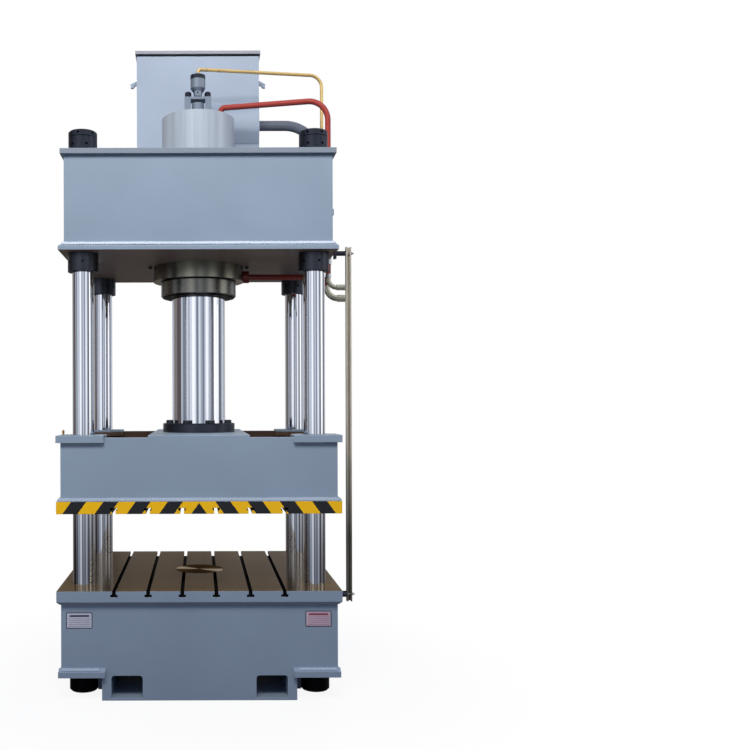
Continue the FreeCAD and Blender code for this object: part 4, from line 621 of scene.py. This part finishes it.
# painted shade: the nuts under the bed get the darker copy of black oxide
dress(makeMetal("black oxide darkened as shade")[0], "bed_nuts")
dress(makeMetal("blued steel")[0], "pilot_cap", "crown_lower_nuts", "ram_flange",
      "ram_flange_screws")
dress(makeMetal("black oxide")[0], "crown_upper_nuts", "crown_lock_rings", "nut_locks",
      "stop_screws", "prefill_bolts", "rail_stands", "rail_bracket")
dress(makeMetal("bearing bronze")[0], "guide_bushes_lower", "guide_bushes_upper", "guide_sleeve",
      "ejector_gland", "grease_nipples")
dress(makeMetal("yellow zinc", 0.7)[0], "pilot_pipe")
dress(makeMetal("pale zinc")[0], "outlet_elbows", "outlet_sleeves")
dressRail()
dress(makeMetal("bright zinc")[0], "upper_unions", "pilot_fittings", "rail_bolts")
dress(makeRubber(), "column_wipers", "piston_seals", "rod_wiper", "tank_gasket")
print("finishes applied")

bead = {
    "ripple": 0.013, "rippleDepth": 0.0034, "wander": 0.0004, "behind": 0.001,
    "acrossSteps": 9, "footSteps": 110, "sideSteps": 620, "corner": 0.002, "crownFoot": 2.147,
    "crownRise": 0.0155, "slideRise": 0.0165, "footRise": 0.012,
    "crownWebHalf": (0.634, 0.545), "slideWebHalf": (0.652, 0.555),
    "footX": (0.470, 0.650), "footZ": 0.142, "webY": 0.547,
}


def makeBead(name, path, foot, rise, body, finish, closed=True):
    # hand-laid fillet weld under paint: a quarter circle from the web down to the plate, carried
    # round the web; its radius swells and shrinks with each drop of the weld, a rounded saw in
    # the distance run, and slowly wanders
    places, outward, run = path
    saw = 1 - np.mod(run / bead["ripple"], 1) ** 2
    wander = np.sin(run * 13.7) + 0.6 * np.sin(run * 41.3 + 1.0)
    radius = rise + bead["rippleDepth"] * (saw - 0.5) + bead["wander"] * wander
    angle = np.linspace(0, np.pi / 2, bead["acrossSteps"])[:, None]
    # the section closes through a point just inside the metal, behind the corner
    inside = np.full((1, len(run)), -bead["behind"])
    flat = np.concatenate([inside, radius * np.cos(angle)])
    high = np.concatenate([inside, radius * np.sin(angle)])
    sides = places + outward * flat[..., None]
    points = np.concatenate([sides, (foot + high)[..., None]], axis=-1)
    if not closed:
        # the ends close on the point inside the metal
        points[:, [0, -1]] = points[:1, [0, -1]]
    piece = meshObject(name, [points], roundU=closed, roundV=True)
    piece.data.materials.append(finish)
    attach(piece, body)


def makeFootBead(name, side, face):
    # the same weld laid straight, from the inner end of a foot plate to its outer end
    inner, outer = bead["footX"]
    run = np.linspace(0, outer - inner, bead["footSteps"])
    places = np.stack([side * (inner + run), np.full(run.shape, face * bead["webY"])], axis=-1)
    outward = np.broadcast_to([0.0, face], places.shape)
    makeBead(name, (places, outward, run), bead["footZ"], bead["footRise"], "root", litLowerWeld,
             False)


# painted highlight: the weld beads get lighter copies of the enamel, as if lit more than the webs
litCrownWeld = makePaint("crown weld enamel painted lighter", paint["litCrownWeld"], 0.22)[0]
litLowerWeld = makePaint("enamel over weld", paint["litLowerWeld"], 0.22)[0]
makeBead("crownWeldBead", framePath(bead["crownWebHalf"], bead["corner"], bead["sideSteps"]),
         bead["crownFoot"], bead["crownRise"], "root", litCrownWeld)
makeBead("slideWeldBead", framePath(bead["slideWebHalf"], bead["corner"], bead["sideSteps"]),
         slideHigh[2], bead["slideRise"], "slide", litLowerWeld)
for side, name in ((-1, "footWeldBeadLeft"), (1, "footWeldBeadRight")):
    for face, end in ((-1, "Front"), (1, "Rear")):
        makeFootBead(name + end, side, face)
print("weld beads laid")

plates = {
    # low and high edge in X and in Z on the front of the bed; face, print and edge colours
    "rating": {"x": (-0.628, -0.504), "z": (0.340, 0.416), "face": "#C2C3D0", "ink": "#2E3040"},
    "warning": {"x": (0.499, 0.622), "z": (0.346, 0.421), "face": "#BDA9B4", "ink": "#8A3A48"},
    "border": "#3A3D4C", "thick": 0.0012, "corner": 0.004, "frontY": -0.547,
    "rivet": 0.0024, "rivetIn": 0.006,
    # print, in metres from the plate's edges: border, heading bar and field of ruled rows
    "borderIn": 0.004, "headingIn": 0.016, "headingLow": 0.021, "headingHigh": 0.012,
    "fieldIn": 0.012, "fieldLow": 0.008, "fieldHigh": 0.026,
    "rowMm": 9.0, "ruleWide": 0.0022, "rowInk": 0.7,
}


def makeNamePlate(name, plate):
    # thin printed sheet riveted to the bed: an outline of a rounded rectangle drawn out from the
    # middle of the back to its edge, forward over a small chamfer, and in to the middle of the
    # front; its last point is its first again
    middle = np.array([np.mean(plate["x"]), np.mean(plate["z"])])
    half = np.array([np.ptp(plate["x"]), np.ptp(plate["z"])]) / 2
    outline = framePath(half, plates["corner"], 12)[0]
    scale = np.array([0, 1, 1, 0.992, 0])[:, None, None]
    depth = np.array([0, 0, 0.8, 1, 1]) * plates["thick"]
    flat = middle + outline[None] * scale
    out = np.broadcast_to((plates["frontY"] - depth)[:, None], flat.shape[:2])
    sheet = np.stack([flat[..., 0], out, flat[..., 1]], axis=-1)
    sheet = np.concatenate([sheet, sheet[:, :1]], axis=1)
    # rivets: domes of radius r, height 0.6 r, in the corners
    turn, lift = np.meshgrid(np.linspace(0, 2 * np.pi, 17), np.linspace(0, np.pi / 2, 6))
    r = plates["rivet"]
    grids = [sheet]
    for sx in (-1, 1):
        for sz in (-1, 1):
            cx, cz = middle + (half - plates["rivetIn"]) * [sx, sz]
            grids.append(np.stack([cx + r * np.cos(lift) * np.cos(turn),
                                   plates["frontY"] - plates["thick"] - 0.6 * r * np.sin(lift),
                                   cz + r * np.cos(lift) * np.sin(turn)], axis=-1))
    piece = meshObject(name, grids)
    piece.data.set_sharp_from_angle(angle=math.radians(30))
    # anodised aluminium: an even matt face, printed with a border, a heading bar and ruled rows
    material, tree, shader, coords = newMaterial("anodised " + name, Metallic=0.1, Roughness=0.45)
    grain = addNode(tree, "TexNoise", {"Vector": coords, "Scale": 700.0}).outputs[0]
    face = np.array(toLinear(plate["face"])[:3])
    tint = addNode(tree, "Mix", {0: grain, 6: (*face * 0.9, 1), 7: (*face * 1.1, 1)},
                   data_type="RGBA").outputs[2]
    tree.links.new(tint, shader.inputs["Base Color"])
    (x0, x1), (z0, z1) = plate["x"], plate["z"]
    axes = addNode(tree, "SeparateXYZ", {0: coords}).outputs
    edge, bar, field = plates["borderIn"], plates["headingIn"], plates["fieldIn"]
    inner = insideBox(tree, coords, [x0 + edge, -1, z0 + edge], [x1 - edge, 1, z1 - edge])
    border = addNode(tree, "Math", {0: 1.0, 1: inner}, operation="SUBTRACT").outputs[0]
    heading = insideBox(tree, coords, [x0 + bar, -1, z1 - plates["headingLow"]],
                        [x1 - bar, 1, z1 - plates["headingHigh"]])
    rise = addNode(tree, "Math", {0: axes[2], 1: z0}, operation="SUBTRACT").outputs[0]
    share = addNode(tree, "Math", {0: rise, 1: plates["rowMm"] / 1000},
                    operation="MODULO").outputs[0]
    rule = addNode(tree, "Math", {0: share, 1: plates["ruleWide"]},
                   operation="LESS_THAN").outputs[0]
    ruled = insideBox(tree, coords, [x0 + field, -1, z0 + plates["fieldLow"]],
                      [x1 - field, 1, z1 - plates["fieldHigh"]])
    rows = addNode(tree, "Math", {0: rule, 1: ruled}, operation="MULTIPLY").outputs[0]
    rows = addNode(tree, "Math", {0: rows, 1: plates["rowInk"]}, operation="MULTIPLY").outputs[0]
    marks = addNode(tree, "Math", {0: heading, 1: rows}, operation="MAXIMUM").outputs[0]
    blendFinish(tree, shader, marks, Base_Color=toLinear(plate["ink"]))
    blendFinish(tree, shader, border, Base_Color=toLinear(plates["border"]))
    piece.data.materials.append(material)
    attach(piece, "root")


makeNamePlate("ratingPlate", plates["rating"])
makeNamePlate("warningPlate", plates["warning"])
print("plates riveted")
